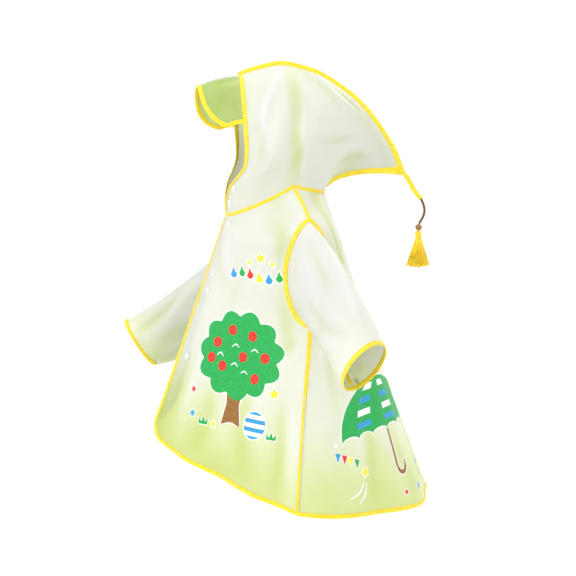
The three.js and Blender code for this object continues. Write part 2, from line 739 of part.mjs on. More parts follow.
const frontSheets = {
  left: { at: (drop, around) => frontPoint(drop, around), rangeA: [0, 1], rangeB: [0, 1], facing: 1 },
  right: { at: (drop, around) => rightFrontPoint(drop, around), rangeA: [0, 1], rangeB: [-1, 1],
    facing: -1 },
};
const frontShapes = {
  left: frontSides(0, LEFT_CORNER),
  right: frontSides(-UNDERLAP, RIGHT_CORNER),
};
const backSheet = { at: backPoint, rangeA: [0, 1], rangeB: [-1, 1], facing: -1 };
const mirrored = (places) => places.map(([drop, around]) => [drop, -around]);
const backSides = {
  top: ratios(2 * AROUND_STEPS, -1, 1).map((around) => [0, around]),
  bottom: ratios(2 * AROUND_STEPS, -1, 1).map((around) => [1, around]),
  left: mirrored(sidePlaces(ARMHOLE_BACK)),
  right: sidePlaces(ARMHOLE_BACK),
};

for (const hand of ['left', 'right']) {
  const sides = cutBack(frontSheets[hand], frontShapes[hand],
    { top: BENT_SEAM_CUT, right: sideCuts(hand), bottom: BENT_EDGE_CUT, left: BENT_EDGE_CUT });
  addPiece(`front_${hand}`, filmGeometry(frontSheets[hand], spread(sides)), CREAM);
}
const backCut = cutBack(backSheet, backSides,
  { top: BENT_SEAM_CUT, right: sideCuts('left'), bottom: EDGE_CUT, left: sideCuts('right') });
addPiece('back', filmGeometry(backSheet, spread(backCut)), CREAM);

// Front edge and hem in one run of tape on each front, and the back hem
for (const hand of ['left', 'right']) {
  const shape = frontShapes[hand];
  const places = [...shape.left, ...shape.bottom.slice(1)];
  const stations = tapeStations({ sheet: frontSheets[hand], places }, [0.7, 0.5]);
  addPiece(`binding_front_${hand}`, edgeTape(trimmed(stations, BENT_SEAM_CUT, CROSS_GAP), 0, TAPE_WIDTH),
    YELLOW);
}
const backHem = tapeStations({ sheet: backSheet, places: backSides.bottom }, [0.5, 0]);
addPiece('binding_back_hem', edgeTape(trimmed(backHem, GAP, GAP), 0, TAPE_WIDTH), YELLOW);

// Shoulder and side seams, with their tape bent over the seam
for (const hand of ['left', 'right']) {
  const side = SLEEVES[hand].side;
  const seamPlaces = (from, to) => sideStations.slice(from, to + 1).map(({ drop }) => drop);
  const runs = {
    shoulder: { drops: seamPlaces(0, shoulderRow), start: SEAM_CUT + CROSS_GAP / 2, end: armholeCut(hand) },
    side: { drops: seamPlaces(underarmRow, sideStations.length - 1), start: armholeCut(hand),
      end: EDGE_CUT + CROSS_GAP },
  };
  for (const [name, run] of Object.entries(runs)) {
    const middle = run.drops[Math.floor(run.drops.length / 2)];
    const front = tapeStations({ sheet: frontSheets[hand], places: run.drops.map((d) => [d, 1]) },
      [middle, 0.7]);
    const back = tapeStations({ sheet: backSheet, places: run.drops.map((d) => [d, side]) },
      [middle, 0.7 * side]);
    addPiece(`binding_${name}_${hand}`,
      seamTape(trimmed(front, run.start, run.end), trimmed(back, run.start, run.end)), YELLOW);
  }
}

// Armhole tape, a closed ring on the body round the sleeve's root
for (const hand of ['left', 'right']) {
  const side = SLEEVES[hand].side;
  const count = 2 * ARMHOLE_STEPS;
  const ring = Array.from({ length: count }, (_, k) => {
    const place = armholePlace(k / count);
    const onBack = place.panel === 'back';
    const sheet = onBack ? backSheet : frontSheets[hand];
    const at = [place.drop, onBack ? side * place.around : place.around];
    const joint = k % ARMHOLE_STEPS === 0;
    const normal = normalAt(sheet, at);
    if (joint) {
      normal.add(normalAt(frontSheets[hand], [place.drop, 1])).add(normalAt(backSheet, [place.drop, side]));
    }
    return { point: armholePoint(side, k / count), normal: normal.normalize() };
  });
  ring.forEach((s, k) => {
    const run = ring[(k + 1) % count].point.clone().sub(ring[(k + count - 1) % count].point);
    s.across = s.normal.clone().cross(run).normalize();
  });
  const outward = ring[0].across.z < 0 ? 1 : -1;
  ring.forEach((s) => s.across.multiplyScalar(outward));
  addPiece(`binding_armhole_${hand}`,
    edgeTape(ring, SLEEVES[hand].tapeGap, SLEEVES[hand].tapeGap + TAPE_WIDTH, true), YELLOW);
}

// Sleeves, each one sheet closed by a taped seam below, with a taped cuff
const sleeveSheets = {};
for (const hand of ['left', 'right']) {
  const sleeve = SLEEVES[hand];
  const sheet = { at: (along, share) => sleevePoint(sleeve, along, share), rangeA: [0, 1],
    rangeB: [0, 1], facing: -sleeve.side };
  sleeveSheets[hand] = sheet;
  const shares = ratios(2 * ARMHOLE_STEPS);
  const along = ratios(SLEEVE_STEPS);
  const sides = {
    top: shares.map((share) => [0, share]),
    bottom: shares.map((share) => [1, share]),
    left: along.map((part) => [part, 0]),
    right: along.map((part) => [part, 1]),
  };
  const cut = cutBack(sheet, sides, { top: 0, right: SLEEVE_SEAM_CUT, bottom: BENT_EDGE_CUT,
    left: SLEEVE_SEAM_CUT });
  addPiece(`sleeve_${hand}`, filmGeometry(sheet, spread(cut)), CREAM);
  const seamA = tapeStations({ sheet, places: sides.left }, [0.5, 0.1]);
  const seamB = tapeStations({ sheet, places: sides.right }, [0.5, 0.9]);
  const trimSeam = (stations) => trimmed(stations, SLEEVE_SEAM_START,
    EDGE_CUT + 2 * CROSS_GAP);
  addPiece(`binding_sleeve_${hand}`, seamTape(trimSeam(seamA), trimSeam(seamB)), YELLOW);
  const cuff = tapeStations({ sheet, places: sides.bottom.slice(0, -1) }, [0.5, 0.5], true);
  addPiece(`binding_cuff_${hand}`, edgeTape(cuff, 0, TAPE_WIDTH, true), YELLOW);
}

// Hood sides, neck seam, face edges and visor
const hoodSheets = {};
for (const hand of ['left', 'right']) {
  const side = SLEEVES[hand].side;
  const sheet = { at: (back, up) => hoodPoint(side, back, up), rangeA: [0, 1], rangeB: [0, 1],
    facing: side };
  hoodSheets[hand] = sheet;
  const backs = ratios(2 * AROUND_STEPS);
  const ups = ratios(HOOD_STEPS);
  const sides = {
    top: ups.map((up) => [0, up]),
    bottom: ups.map((up) => [1, up]),
    left: backs.map((back) => [back, 0]),
    right: backs.map((back) => [back, 1]),
  };
  const cut = cutBack(sheet, sides, { top: BENT_EDGE_CUT, right: 0, bottom: 0,
    left: BENT_SEAM_CUT });
  addPiece(`hood_${hand}`, filmGeometry(sheet, spread(cut)), CREAM);
  const face = tapeStations({ sheet, places: sides.top }, [0.5, 0.5]);
  addPiece(`binding_face_${hand}`, edgeTape(trimmed(face, SEAM_CUT + CROSS_GAP, GAP), 0, TAPE_WIDTH),
    YELLOW);
}

function neckRun(hand) {
  const side = SLEEVES[hand].side;
  const frontPlaces = ratios(AROUND_STEPS).map((around) => [0, around]);
  const backPlaces = ratios(AROUND_STEPS, 1, 0).map((around) => [0, side * around]);
  const body = [
    ...tapeStations({ sheet: frontSheets[hand], places: frontPlaces }, [0.3, 0.5]),
    ...tapeStations({ sheet: backSheet, places: backPlaces }, [0.3, 0.5 * side]).slice(1),
  ];
  const places = ratios(2 * AROUND_STEPS).map((back) => [back, 0]);
  const hood = tapeStations({ sheet: hoodSheets[hand], places }, [0.5, 0.3]);
  hood.forEach((s, i) => s.point.copy(body[i].point));
  return { body, hood };
}
const neckLeft = neckRun('left');
const neckRight = neckRun('right');
const joined = (part) => {
  const left = trimmed(neckLeft[part], GAP, 0);
  const right = trimmed(neckRight[part], GAP, 0);
  const middle = left[left.length - 1];
  middle.normal.setX(0).normalize();
  middle.across.setX(0).normalize();
  return [...left, ...right.slice(0, -1).reverse()];
};
addPiece('binding_neck', seamTape(joined('body'), joined('hood')), YELLOW);

// Raised tape over the crown and nape seams, one run round the hood's tip
const outline = [
  ...ratios(HOOD_STEPS).map((share) => planeCurve(CROWN_COLUMNS, CROWN_ROWS, share)),
  ...ratios(NAPE_STEPS, 1, 0).map((share) => planeCurve(NAPE_COLUMNS, NAPE_ROWS, share)),
];
const ridge = outline.map((point, i) => {
  const before = point.clone().sub(outline[Math.max(i - 1, 0)]);
  const after = outline[Math.min(i + 1, outline.length - 1)].clone().sub(point);
  const sideways = vec(1, 0, 0);
  const inA = (before.length() > 0 ? before : after).clone().cross(sideways).normalize();
  const inB = (after.length() > 0 ? after : before).clone().cross(sideways).normalize();
  return { point, normal: sideways, across: cornerStep(inA, inB, 1, 1) };
});
const ridgeHalf = RIDGE_THICK / 2;
const ridgeSections = trimmed(ridge, 0, NAPE_END_CUT).map((s) => {
  const at = (across, x) => s.point.clone().addScaledVector(s.across, across).setX(x);
  return [at(0, ridgeHalf), at(TAPE_WIDTH, ridgeHalf), at(TAPE_WIDTH, -ridgeHalf), at(0, -ridgeHalf)];
});
addPiece('binding_hood_seam', solidFromSections(ridgeSections), YELLOW);

const visorSheet = { at: visorPoint, rangeA: [-VISOR_END, VISOR_END], rangeB: [0, 1], facing: 1 };
const visorAcross = ratios(VISOR_STEPS, -VISOR_END, VISOR_END);
const visorForward = ratios(VISOR_ROWS);
const visorSides = {
  top: visorAcross.map((across) => [across, 0]),
  bottom: visorAcross.map((across) => [across, 1]),
  left: visorForward.map((forward) => [-VISOR_END, forward]),
  right: visorForward.map((forward) => [VISOR_END, forward]),
};
const visorCut = cutBack(visorSheet, visorSides, { top: 0, right: EDGE_CUT, bottom: EDGE_CUT,
  left: EDGE_CUT });
addPiece('visor', filmGeometry(visorSheet, spread(visorCut)), VISOR_GREEN, GLOSSY);
const visorRim = [...visorSides.left, ...visorSides.bottom.slice(1, -1),
  ...[...visorSides.right].reverse()];
const rim = tapeStations({ sheet: visorSheet, places: visorRim }, [0, 0.3]);
addPiece('binding_visor', edgeTape(rim, 0, TAPE_WIDTH), YELLOW);

// Snap caps, each standing on the face of its panel
function addSnap(name, sheet, place, lift = GAP) {
  const profile = SNAP_PROFILE.map(([r, h]) => new THREE.Vector2(r * SNAP_RADIUS, h * SNAP_HEIGHT));
  const geometry = new THREE.LatheGeometry(profile, SNAP_SIDES);
  const normal = normalAt(sheet, place);
  const mesh = addPiece(name, geometry, WHITE, MOULDED);
  mesh.quaternion.setFromUnitVectors(vec(0, 1, 0), normal);
  mesh.position.copy(sheet.at(...place)).addScaledVector(normal, lift);
}
FRONT_SNAPS.forEach((drop, i) => {
  const width = tableAt(BODY_COLUMNS, BODY_ROWS, drop).halfWidth;
  addSnap(`snap_front_${i + 1}`, frontSheets.left, [drop, SNAP_INSET / width]);
});
CHIN_SNAPS.forEach((up, i) => addSnap(`snap_chin_${i + 1}`, hoodSheets.left, [CHIN_BACK, up]));
addSnap('snap_back_left', backSheet, [BACK_SNAP.drop, BACK_SNAP.around]);
addSnap('snap_back_right', backSheet, [BACK_SNAP.drop, -BACK_SNAP.around]);
for (const [hand, shares] of Object.entries(CUFF_SNAPS)) {
  shares.forEach((share, i) => {
    addSnap(`snap_cuff_${hand}_${i + 1}`, sleeveSheets[hand], [CUFF_SNAP_ALONG, share]);
  });
}

// Tape tail at the hood's tip, with the cord, bead and tassel that hang from it
const tailPath = new THREE.CatmullRomCurve3(TAIL_POINTS.map((p) => vec(...p)));
const tailShape = new THREE.Shape();
tailShape.moveTo(-TAIL_THICK / 2, -TAIL_WIDTH / 2);
tailShape.lineTo(TAIL_THICK / 2, -TAIL_WIDTH / 2);
tailShape.lineTo(TAIL_THICK / 2, TAIL_WIDTH / 2);
tailShape.lineTo(-TAIL_THICK / 2, TAIL_WIDTH / 2);
tailShape.closePath();
addPiece('hood_tail', new THREE.ExtrudeGeometry(tailShape, { steps: TAIL_STEPS, extrudePath: tailPath }),
  YELLOW);

const cordPath = new THREE.CatmullRomCurve3(CORD_POINTS.map((p) => vec(...p)));
const cordShape = new THREE.Shape();
cordShape.absarc(0, 0, CORD_DIAMETER / 2, 0, 2 * Math.PI);
addPiece('tassel_cord', new THREE.ExtrudeGeometry(cordShape, { steps: CORD_STEPS, curveSegments: CORD_ARC_STEPS,
  extrudePath: cordPath }), CORD_BROWN, FIBROUS);

const bead = addPiece('tassel_bead', new THREE.SphereGeometry(BEAD_RADIUS, BEAD_SIDES, BEAD_RINGS), CORD_BROWN,
  MOULDED);
bead.position.set(...BEAD_CENTRE);

function toSolid(geometry) {
  const bare = geometry.clone();
  bare.deleteAttribute('normal');
  bare.deleteAttribute('uv');
  const merged = mergeVertices(bare, MERGE_NEAR);
  return new wasm.Manifold(new wasm.Mesh({
    numProp: 3,
    vertProperties: new Float32Array(merged.attributes.position.array),
    triVerts: new Uint32Array(merged.index.array),
  }));
}

function strandGeometry(index) {
  const share = Math.sqrt((index + 0.5) / TASSEL_STRANDS);
  const turn = index * Math.PI * (3 - Math.sqrt(5));
  const sections = ratios(STRAND_STEPS).map((part) => {
    const radius = share * (TASSEL_NECK + (1 - TASSEL_NECK) * part ** TASSEL_FLARE);
    const x = radius * TASSEL_SPREAD_X * Math.cos(turn);
    const y = radius * TASSEL_SPREAD * Math.sin(turn);
    const fall = (TASSEL_LENGTH - HEAD_HEIGHT + ROOT_DEPTH) * part;
    const z = ROOT_DEPTH - HEAD_HEIGHT - fall * (1 - TASSEL_UNEVEN * share * part);
    return [0, 1, 2].map((k) => {
      const corner = (2 * Math.PI * k) / 3;
      return vec(x + STRAND_RADIUS * Math.cos(corner), y + STRAND_RADIUS * Math.sin(corner), z);
    });
  });
  const positions = sections.flat().flatMap((p) => [p.x, p.y, p.z]);
  const faces = [0, 2, 1];
  for (let i = 0; i < STRAND_STEPS; i += 1) {
    for (let k = 0; k < 3; k += 1) {
      const a = 3 * i + k;
      const b = 3 * i + ((k + 1) % 3);
      faces.push(a, b, b + 3, a, b + 3, a + 3);
    }
  }
  const end = 3 * STRAND_STEPS;
  faces.push(end, end + 1, end + 2);
  return closedGeometry(positions, faces);
}

const headProfile = HEAD_PROFILE.map(([r, z]) => new THREE.Vector2(r, z));
const headGeometry = new THREE.LatheGeometry(headProfile, HEAD_SIDES).rotateX(-Math.PI / 2);
let tassel = toSolid(headGeometry);
for (let i = 0; i < TASSEL_STRANDS; i += 1) {
  tassel = tassel.add(toSolid(strandGeometry(i)));
}
const tasselMesh = tassel.getMesh();
const tasselGeometry = new THREE.BufferGeometry();
tasselGeometry.setAttribute('position', new THREE.BufferAttribute(tasselMesh.vertProperties, 3));
tasselGeometry.setIndex(new THREE.BufferAttribute(tasselMesh.triVerts, 1));
const tasselPiece = addPiece('tassel', tasselGeometry, YELLOW, FIBROUS);
tasselPiece.position.set(...TASSEL_TOP);

export default coat;
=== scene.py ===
"""A child's hooded raincoat of thin frosted film, standing open as if worn.

+X is the wearer's left, -Y the wearer's front, +Z up, as in the frame. Sizes are in millimetres
until a mesh is made, and shares run from 0 to 1 over a panel.
"""

import math

import bmesh
import bpy
import numpy as np
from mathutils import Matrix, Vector
from mathutils.geometry import delaunay_2d_cdt


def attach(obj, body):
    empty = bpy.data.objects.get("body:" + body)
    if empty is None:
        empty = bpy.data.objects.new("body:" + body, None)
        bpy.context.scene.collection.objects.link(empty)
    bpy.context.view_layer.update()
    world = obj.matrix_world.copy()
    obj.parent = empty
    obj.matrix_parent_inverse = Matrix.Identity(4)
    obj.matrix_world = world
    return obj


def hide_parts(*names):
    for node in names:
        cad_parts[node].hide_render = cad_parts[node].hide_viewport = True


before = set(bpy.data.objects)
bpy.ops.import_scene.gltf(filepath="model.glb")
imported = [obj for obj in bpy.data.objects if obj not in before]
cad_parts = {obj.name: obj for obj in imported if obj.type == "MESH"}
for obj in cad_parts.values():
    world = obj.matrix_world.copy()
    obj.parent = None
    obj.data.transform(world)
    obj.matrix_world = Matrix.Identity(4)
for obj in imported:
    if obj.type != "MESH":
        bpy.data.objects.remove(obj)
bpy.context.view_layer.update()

# Camera
# The photograph looks at the wearer's left side, a little from the front and from above the
# hem, through a long lens, so that far edges look hardly smaller than near ones.
CAMERA_AZIMUTH = math.radians(80)
CAMERA_ELEVATION = math.radians(11)
CAMERA_TARGET = Vector((0, 0.028, -0.1816))
CAMERA_DISTANCE = 3.0
CAMERA_LENS = 89.25

camera_data = bpy.data.cameras.new("camera")
camera_data.lens = CAMERA_LENS
camera_data.sensor_width = 36
camera = bpy.data.objects.new("camera", camera_data)
bpy.context.scene.collection.objects.link(camera)
to_camera = Vector((
    math.sin(CAMERA_AZIMUTH) * math.cos(CAMERA_ELEVATION),
    -math.cos(CAMERA_AZIMUTH) * math.cos(CAMERA_ELEVATION),
    math.sin(CAMERA_ELEVATION),
))
camera.location = CAMERA_TARGET + to_camera * CAMERA_DISTANCE
camera.rotation_mode = "QUATERNION"
camera.rotation_quaternion = (-to_camera).to_track_quat("-Z", "Y")
bpy.context.scene.camera = camera

# Tassel cord
# A short three-strand cord of brown polyester, 5 mm thick. It comes out of the folded tape
# at the hood's tip, sags a little backward and ends in the bead.
MM = 0.001
CORD_POINTS = ((0, 312.6, 1.3), (0, 319, -13), (0, 321, -27), (0, 317, -40), (0, 309.6, -52.2))
CORD_DIAMETER = 5.2
CORD_STRANDS = 3
CORD_LAY = 11  # length of one whole turn of a strand
CORD_GROOVE = 0.2  # share of the radius that the grooves between strands take
CORD_SIDES = 24
CORD_STEPS = 58


def table_at(columns, rows, key):
    """Smooth value of every column between the rows of a table whose first column is its key."""
    table = np.array(rows, float)
    keys = table[:, 0]
    slopes = np.empty_like(table)
    slopes[1:-1] = (table[2:] - table[:-2]) / (keys[2:] - keys[:-2])[:, None]
    slopes[0] = (table[1] - table[0]) / (keys[1] - keys[0])
    slopes[-1] = (table[-1] - table[-2]) / (keys[-1] - keys[-2])
    x = np.clip(np.asarray(key, float), keys[0], keys[-1])
    i = np.clip(np.searchsorted(keys, x) - 1, 0, len(keys) - 2)
    span = keys[i + 1] - keys[i]
    s = (x - keys[i]) / span
    rise = 3 * s**2 - 2 * s**3
    found = {}
    for c, name in enumerate(columns):
        column = table[:, c]
        found[name] = (
            column[i] * (1 - rise)
            + column[i + 1] * rise
            + (s**3 - 2 * s**2 + s) * span * slopes[i, c]
            + (s**3 - s**2) * span * slopes[i + 1, c]
        )
    return found


def unit(v):
    return v / np.maximum(np.linalg.norm(v, axis=-1, keepdims=True), 1e-9)


def linear(hex_colour):
    """A linear colour with alpha for an sRGB hex value."""
    channels = [int(hex_colour[i : i + 2], 16) / 255 for i in (0, 2, 4)]
    turned = [c / 12.92 if c <= 0.04045 else ((c + 0.055) / 1.055) ** 2.4 for c in channels]
    return (*turned, 1)


def add_node(tree, kind, inputs=None, **settings):
    """A node with its settings; an input is a value, or another node's output to link."""
    node = tree.nodes.new(kind)
    for key, value in settings.items():
        setattr(node, key, value)
    for key, value in (inputs or {}).items():
        if isinstance(value, bpy.types.NodeSocket):
            tree.links.new(value, node.inputs[key])
        else:
            node.inputs[key].default_value = value
    return node


def new_material(name):
    material = bpy.data.materials.new(name)
    material.use_nodes = True
    material.node_tree.nodes.clear()
    return material, material.node_tree


def colour_ramp(tree, factor, stops):
    """Colours at places from 0 to 1 of a factor."""
    ramp = add_node(tree, "ShaderNodeValToRGB", {"Fac": factor})
    elements = ramp.color_ramp.elements
    while len(elements) < len(stops):
        elements.new(0.5)
    for element, (place, colour) in zip(elements, stops):
        element.position = place
        element.color = linear(colour)
    return ramp.outputs["Color"]


def skin_faces(count, size, loop=False, caps=True):
    """Faces over sections of size points each; loop joins the last section to the first."""
    i = np.arange(count if loop else count - 1)[:, None] * size
    k = np.arange(size)[None]
    after = (i + size) % (count * size)
    k1 = (k + 1) % size
    faces = np.stack([i + k, i + k1, after + k1, after + k], -1).reshape(-1, 4).tolist()
    if caps and not loop:
        faces.append(list(range(size))[::-1])
        faces.append(list(range((count - 1) * size, count * size)))
    return faces


def add_mesh(name, points, faces, material, uvs=None, tone_and_shade=None, sharp=48):
    """A piece from points in millimetres, with smooth faces but for edges sharper than sharp."""
    mesh = bpy.data.meshes.new(name)
    mesh.from_pydata((np.asarray(points).reshape(-1, 3) * MM).tolist(), [], faces)
    if uvs is not None:
        corners = np.empty(len(mesh.loops), np.int32)
        mesh.loops.foreach_get("vertex_index", corners)
        layer = mesh.uv_layers.new(name="UVMap")
        layer.uv.foreach_set("vector", np.asarray(uvs, np.float32).reshape(-1, 2)[corners].ravel())
    # The film's own tone with its painted shade, as a point attribute for the material.
    if tone_and_shade is not None:
        attribute = mesh.attributes.new("tone_and_shade", "FLOAT", "POINT")
        attribute.data.foreach_set("value", np.asarray(tone_and_shade, np.float32).ravel())
    mesh.materials.append(material)
    measured = bmesh.new()
    measured.from_mesh(mesh)
    if measured.calc_volume(signed=True) < 0:
        mesh.flip_normals()
    measured.free()
    mesh.shade_smooth()
    mesh.set_sharp_from_angle(angle=math.radians(sharp))
    piece = bpy.data.objects.new(name, mesh)
    bpy.context.scene.collection.objects.link(piece)
    return piece


def tube_sections(path, radii, sides, turn=0.0, side_way=(1.0, 0.0, 0.0)):
    """Round sections along a path; radii holds one radius for each step and side."""
    path = np.asarray(path, float)
    run = unit(np.gradient(path, axis=0))
    across = unit(np.asarray(side_way) - run * (run @ np.asarray(side_way))[:, None])
    up = np.cross(run, across)
    angle = (2 * math.pi * np.arange(sides) / sides)[None] + turn
    ring = across[:, None] * np.cos(angle)[..., None] + up[:, None] * np.sin(angle)[..., None]
    return path[:, None] + ring * np.broadcast_to(radii, (len(path), sides))[..., None]


def path_through(points, count):
    """A smooth path of count points through a few, evenly spaced."""
    points = np.array(points, float)
    reach = np.concatenate([[0], np.cumsum(np.linalg.norm(np.diff(points, axis=0), axis=1))])
    found = table_at(("reach", "x", "y", "z"), np.column_stack([reach, points]),
                     np.linspace(0, reach[-1], count))
    return np.stack([found["x"], found["y"], found["z"]], -1)


# Twisted polyester: matt, with fine lengthwise fibres that break up the light on each strand.
cord_finish, tree = new_material("twisted_polyester_brown")
place = add_node(tree, "ShaderNodeTexCoord").outputs["Object"]
fibres = add_node(tree, "ShaderNodeTexNoise", {"Vector": place, "Scale": 900.0, "Detail": 4.0})
cord_colour = colour_ramp(tree, fibres.outputs["Fac"],
                          ((0.3, "3E2806"), (0.55, "70490F"), (0.8, "94691F")))
fibre_bump = add_node(tree, "ShaderNodeBump", {"Strength": 0.5, "Distance": 0.0003,
                                               "Height": fibres.outputs["Fac"]})
shader = add_node(tree, "ShaderNodeBsdfPrincipled", {
    "Base Color": cord_colour, "Roughness": 0.62, "Sheen Weight": 0.25,
    "Normal": fibre_bump.outputs["Normal"]})
add_node(tree, "ShaderNodeOutputMaterial", {"Surface": shader.outputs[0]})

cord_path = path_through(CORD_POINTS, CORD_STEPS + 1)
cord_steps = np.linalg.norm(np.diff(cord_path, axis=0), axis=1)
cord_reach = np.concatenate([[0], np.cumsum(cord_steps)])
side_angle = 2 * math.pi * np.arange(CORD_SIDES) / CORD_SIDES
strand_angle = CORD_STRANDS / 2 * (side_angle[None] - 2 * math.pi * cord_reach[:, None] / CORD_LAY)
cord_radii = CORD_DIAMETER / 2 * (1 - CORD_GROOVE * (1 - np.abs(np.cos(strand_angle))))
cord = add_mesh("cord_twisted", tube_sections(cord_path, cord_radii, CORD_SIDES),
                skin_faces(CORD_STEPS + 1, CORD_SIDES), cord_finish, sharp=80)
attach(cord, "root")
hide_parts("tassel_cord")

# Bead
# A turned brown bead of 14 mm with a bore for the cord. It hides the knot that holds the
# tassel.
BEAD_CENTRE = (0, 309, -60)
BEAD_RADIUS = 7
BEAD_BORE = 2.75
BEAD_SIDES = 40
BEAD_ARC = 22


def lathe(profile, sides):
    """Sections of a body turned about Z from a profile of radius and height."""
    angle = 2 * math.pi * np.arange(sides) / sides
    radius, height = np.array(profile, float).T
    ring = np.stack([np.cos(angle), np.sin(angle)], -1)
    flat = radius[:, None, None] * ring[None]
    return np.concatenate([flat, np.broadcast_to(height[:, None, None], (len(radius), sides, 1))], -1)


# Lacquered wood: fine turned rings and streaks under a clear glossy coat.
bead_finish, tree = new_material("lacquered_beech_brown")
place = add_node(tree, "ShaderNodeTexCoord").outputs["Object"]
streaks = add_node(tree, "ShaderNodeMapping", {"Vector": place, "Scale": (260.0, 260.0, 1300.0)})
grain = add_node(tree, "ShaderNodeTexNoise", {"Vector": streaks.outputs[0], "Scale": 1.0,
                                              "Detail": 5.0})
bead_colour = colour_ramp(tree, grain.outputs["Fac"],
                          ((0.32, "6E420A"), (0.52, "9A6814"), (0.75, "B98726")))
shader = add_node(tree, "ShaderNodeBsdfPrincipled", {
    "Base Color": bead_colour, "Roughness": 0.35, "Coat Weight": 0.6, "Coat Roughness": 0.12})
add_node(tree, "ShaderNodeOutputMaterial", {"Surface": shader.outputs[0]})

half_bore = math.asin(BEAD_BORE / BEAD_RADIUS)
arc = np.linspace(half_bore, math.pi - half_bore, BEAD_ARC)
bead_profile = [(BEAD_RADIUS * math.sin(t), BEAD_RADIUS * math.cos(t)) for t in arc]
bead_sections = lathe(bead_profile, BEAD_SIDES) + np.array(BEAD_CENTRE)
bead = add_mesh("bead_turned", bead_sections,
                skin_faces(len(bead_profile), BEAD_SIDES, loop=True), bead_finish)
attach(bead, "root")
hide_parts("tassel_bead")

# Tassel
# A bundle of bright yellow rayon threads, folded over the cord's end, wound tight under the
# bead and cut by hand below, so that it flares and its ends are uneven.
TASSEL_TOP = (0, 308.5, -67.4)
TASSEL_LENGTH = 80
HEAD_HEIGHT = 13
HEAD_PROFILE = ((0, 0), (2.4, 0), (4.8, -1), (6.2, -3.2), (6.5, -6), (6.0, -8.4), (5.4, -9),
                (5.7, -9.8), (5.4, -10.6), (5.7, -11.4), (5.4, -12.2), (6.4, -HEAD_HEIGHT),
                (0, -HEAD_HEIGHT))
HEAD_SIDES = 48
HEAD_LOBES = 24  # folds of thread that show round the head
TASSEL_THREADS = 330
THREAD_RADIUS = 0.55
THREAD_SIDES = 4
THREAD_STEPS = 9
SKIRT_X = 17.5  # half sizes of the skirt at its foot
SKIRT_Y = 26
SKIRT_NECK = 0.2

# Rayon thread: silky, with a soft sheen; streaks of deeper gold are painted shade between threads.
tassel_finish, tree = new_material("rayon_thread_yellow")
place = add_node(tree, "ShaderNodeTexCoord").outputs["Object"]
drawn = add_node(tree, "ShaderNodeMapping", {"Vector": place, "Scale": (420.0, 420.0, 30.0)})
# Painted shade: long streaks of deeper gold between the threads.
threads = add_node(tree, "ShaderNodeTexNoise", {"Vector": drawn.outputs[0], "Scale": 1.0,
                                                "Detail": 3.0})
tassel_colour = colour_ramp(tree, threads.outputs["Fac"],
                            ((0.25, "E9B410"), (0.5, "FBDD22"), (0.75, "FFEF5A")))
shader = add_node(tree, "ShaderNodeBsdfPrincipled", {
    "Base Color": tassel_colour, "Roughness": 0.42, "Sheen Weight": 0.4, "Sheen Roughness": 0.4})
add_node(tree, "ShaderNodeOutputMaterial", {"Surface": shader.outputs[0]})

draw = np.random.default_rng(11)
head = lathe(HEAD_PROFILE, HEAD_SIDES)
lobes = 1 + 0.035 * np.cos(HEAD_LOBES * 2 * math.pi * np.arange(HEAD_SIDES) / HEAD_SIDES)
head[..., :2] *= lobes[None, :, None]
tassel_points = [head.reshape(-1, 3)]
tassel_faces = skin_faces(len(HEAD_PROFILE), HEAD_SIDES, caps=False)
start = head.size // 3
down = np.linspace(0, 1, THREAD_STEPS + 1)
for index in range(TASSEL_THREADS):
    share = math.sqrt((index + 0.5) / TASSEL_THREADS)
    turn = index * math.pi * (3 - math.sqrt(5))
    spread = share * (SKIRT_NECK + (1 - SKIRT_NECK) * down ** (1.05 + 0.25 * draw.random()))
    wave = 1.1 * np.sin(2 * math.pi * (down * (1.1 + draw.random()) + draw.random())) * down
    x = spread * SKIRT_X * math.cos(turn) + wave * math.cos(turn + 1.6)
    y = spread * SKIRT_Y * math.sin(turn) + wave * math.sin(turn + 1.6)
    fall = (TASSEL_LENGTH - HEAD_HEIGHT + 2) * (1 - 0.06 * share - 0.07 * draw.random())
    z = 2 - HEAD_HEIGHT - fall * down
    radii = THREAD_RADIUS * (1 - 0.3 * down**4)[:, None]
    thread = tube_sections(np.stack([x, y, z], -1), radii, THREAD_SIDES)
    tassel_points.append(thread.reshape(-1, 3))
    thread_faces = skin_faces(THREAD_STEPS + 1, THREAD_SIDES)
    tassel_faces += [[start + k for k in face] for face in thread_faces]
    start += thread.size // 3
tassel = add_mesh("tassel_threads", np.concatenate(tassel_points) + np.array(TASSEL_TOP),
                  tassel_faces, tassel_finish, sharp=80)
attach(tassel, "root")
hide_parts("tassel")

# Fronts and back
# Three panels of frosted EVA film, 0.8 mm thick here, cut flared like a cape and joined at the
# shoulders and sides. The film is limp, so it keeps soft bends and a few creases from its fold.
FILM = 0.8
# Painted shade: the film's colour turns greener in crease troughs and paler on their ridges.
CREASE_SHADE_DEPTH = 13  # trough depth in mm that would turn the film wholly green
EDGE_INSET = 0.002  # share of a panel by which its film stops inside the tape
BODY_COLUMNS = ("drop", "half_width", "side_y", "side_z", "front_y", "front_z",
                "back_y", "back_z", "front_round", "front_fall", "back_fall")
BODY_ROWS = (
    (0.00, 88, 25, 43, -102, -22, 102, 22, 0.95, 1.8, 1.6),
    (0.17, 185, 38, -15, -129, -98, 134, -84, 0.75, 1.5, 1.3),
    (0.31, 196, 34, -110, -151, -162, 163, -172, 0.55, 1.2, 1.3),
    (0.45, 216, 34, -212, -174, -226, 196, -262, 0.42, 1.0, 1.4),
    (0.70, 258, 14, -386, -216, -344, 256, -426, 0.32, 0.95, 1.5),
    (1.00, 312, -9, -570, -268, -484, 330, -622, 0.26, 0.95, 1.6),
)
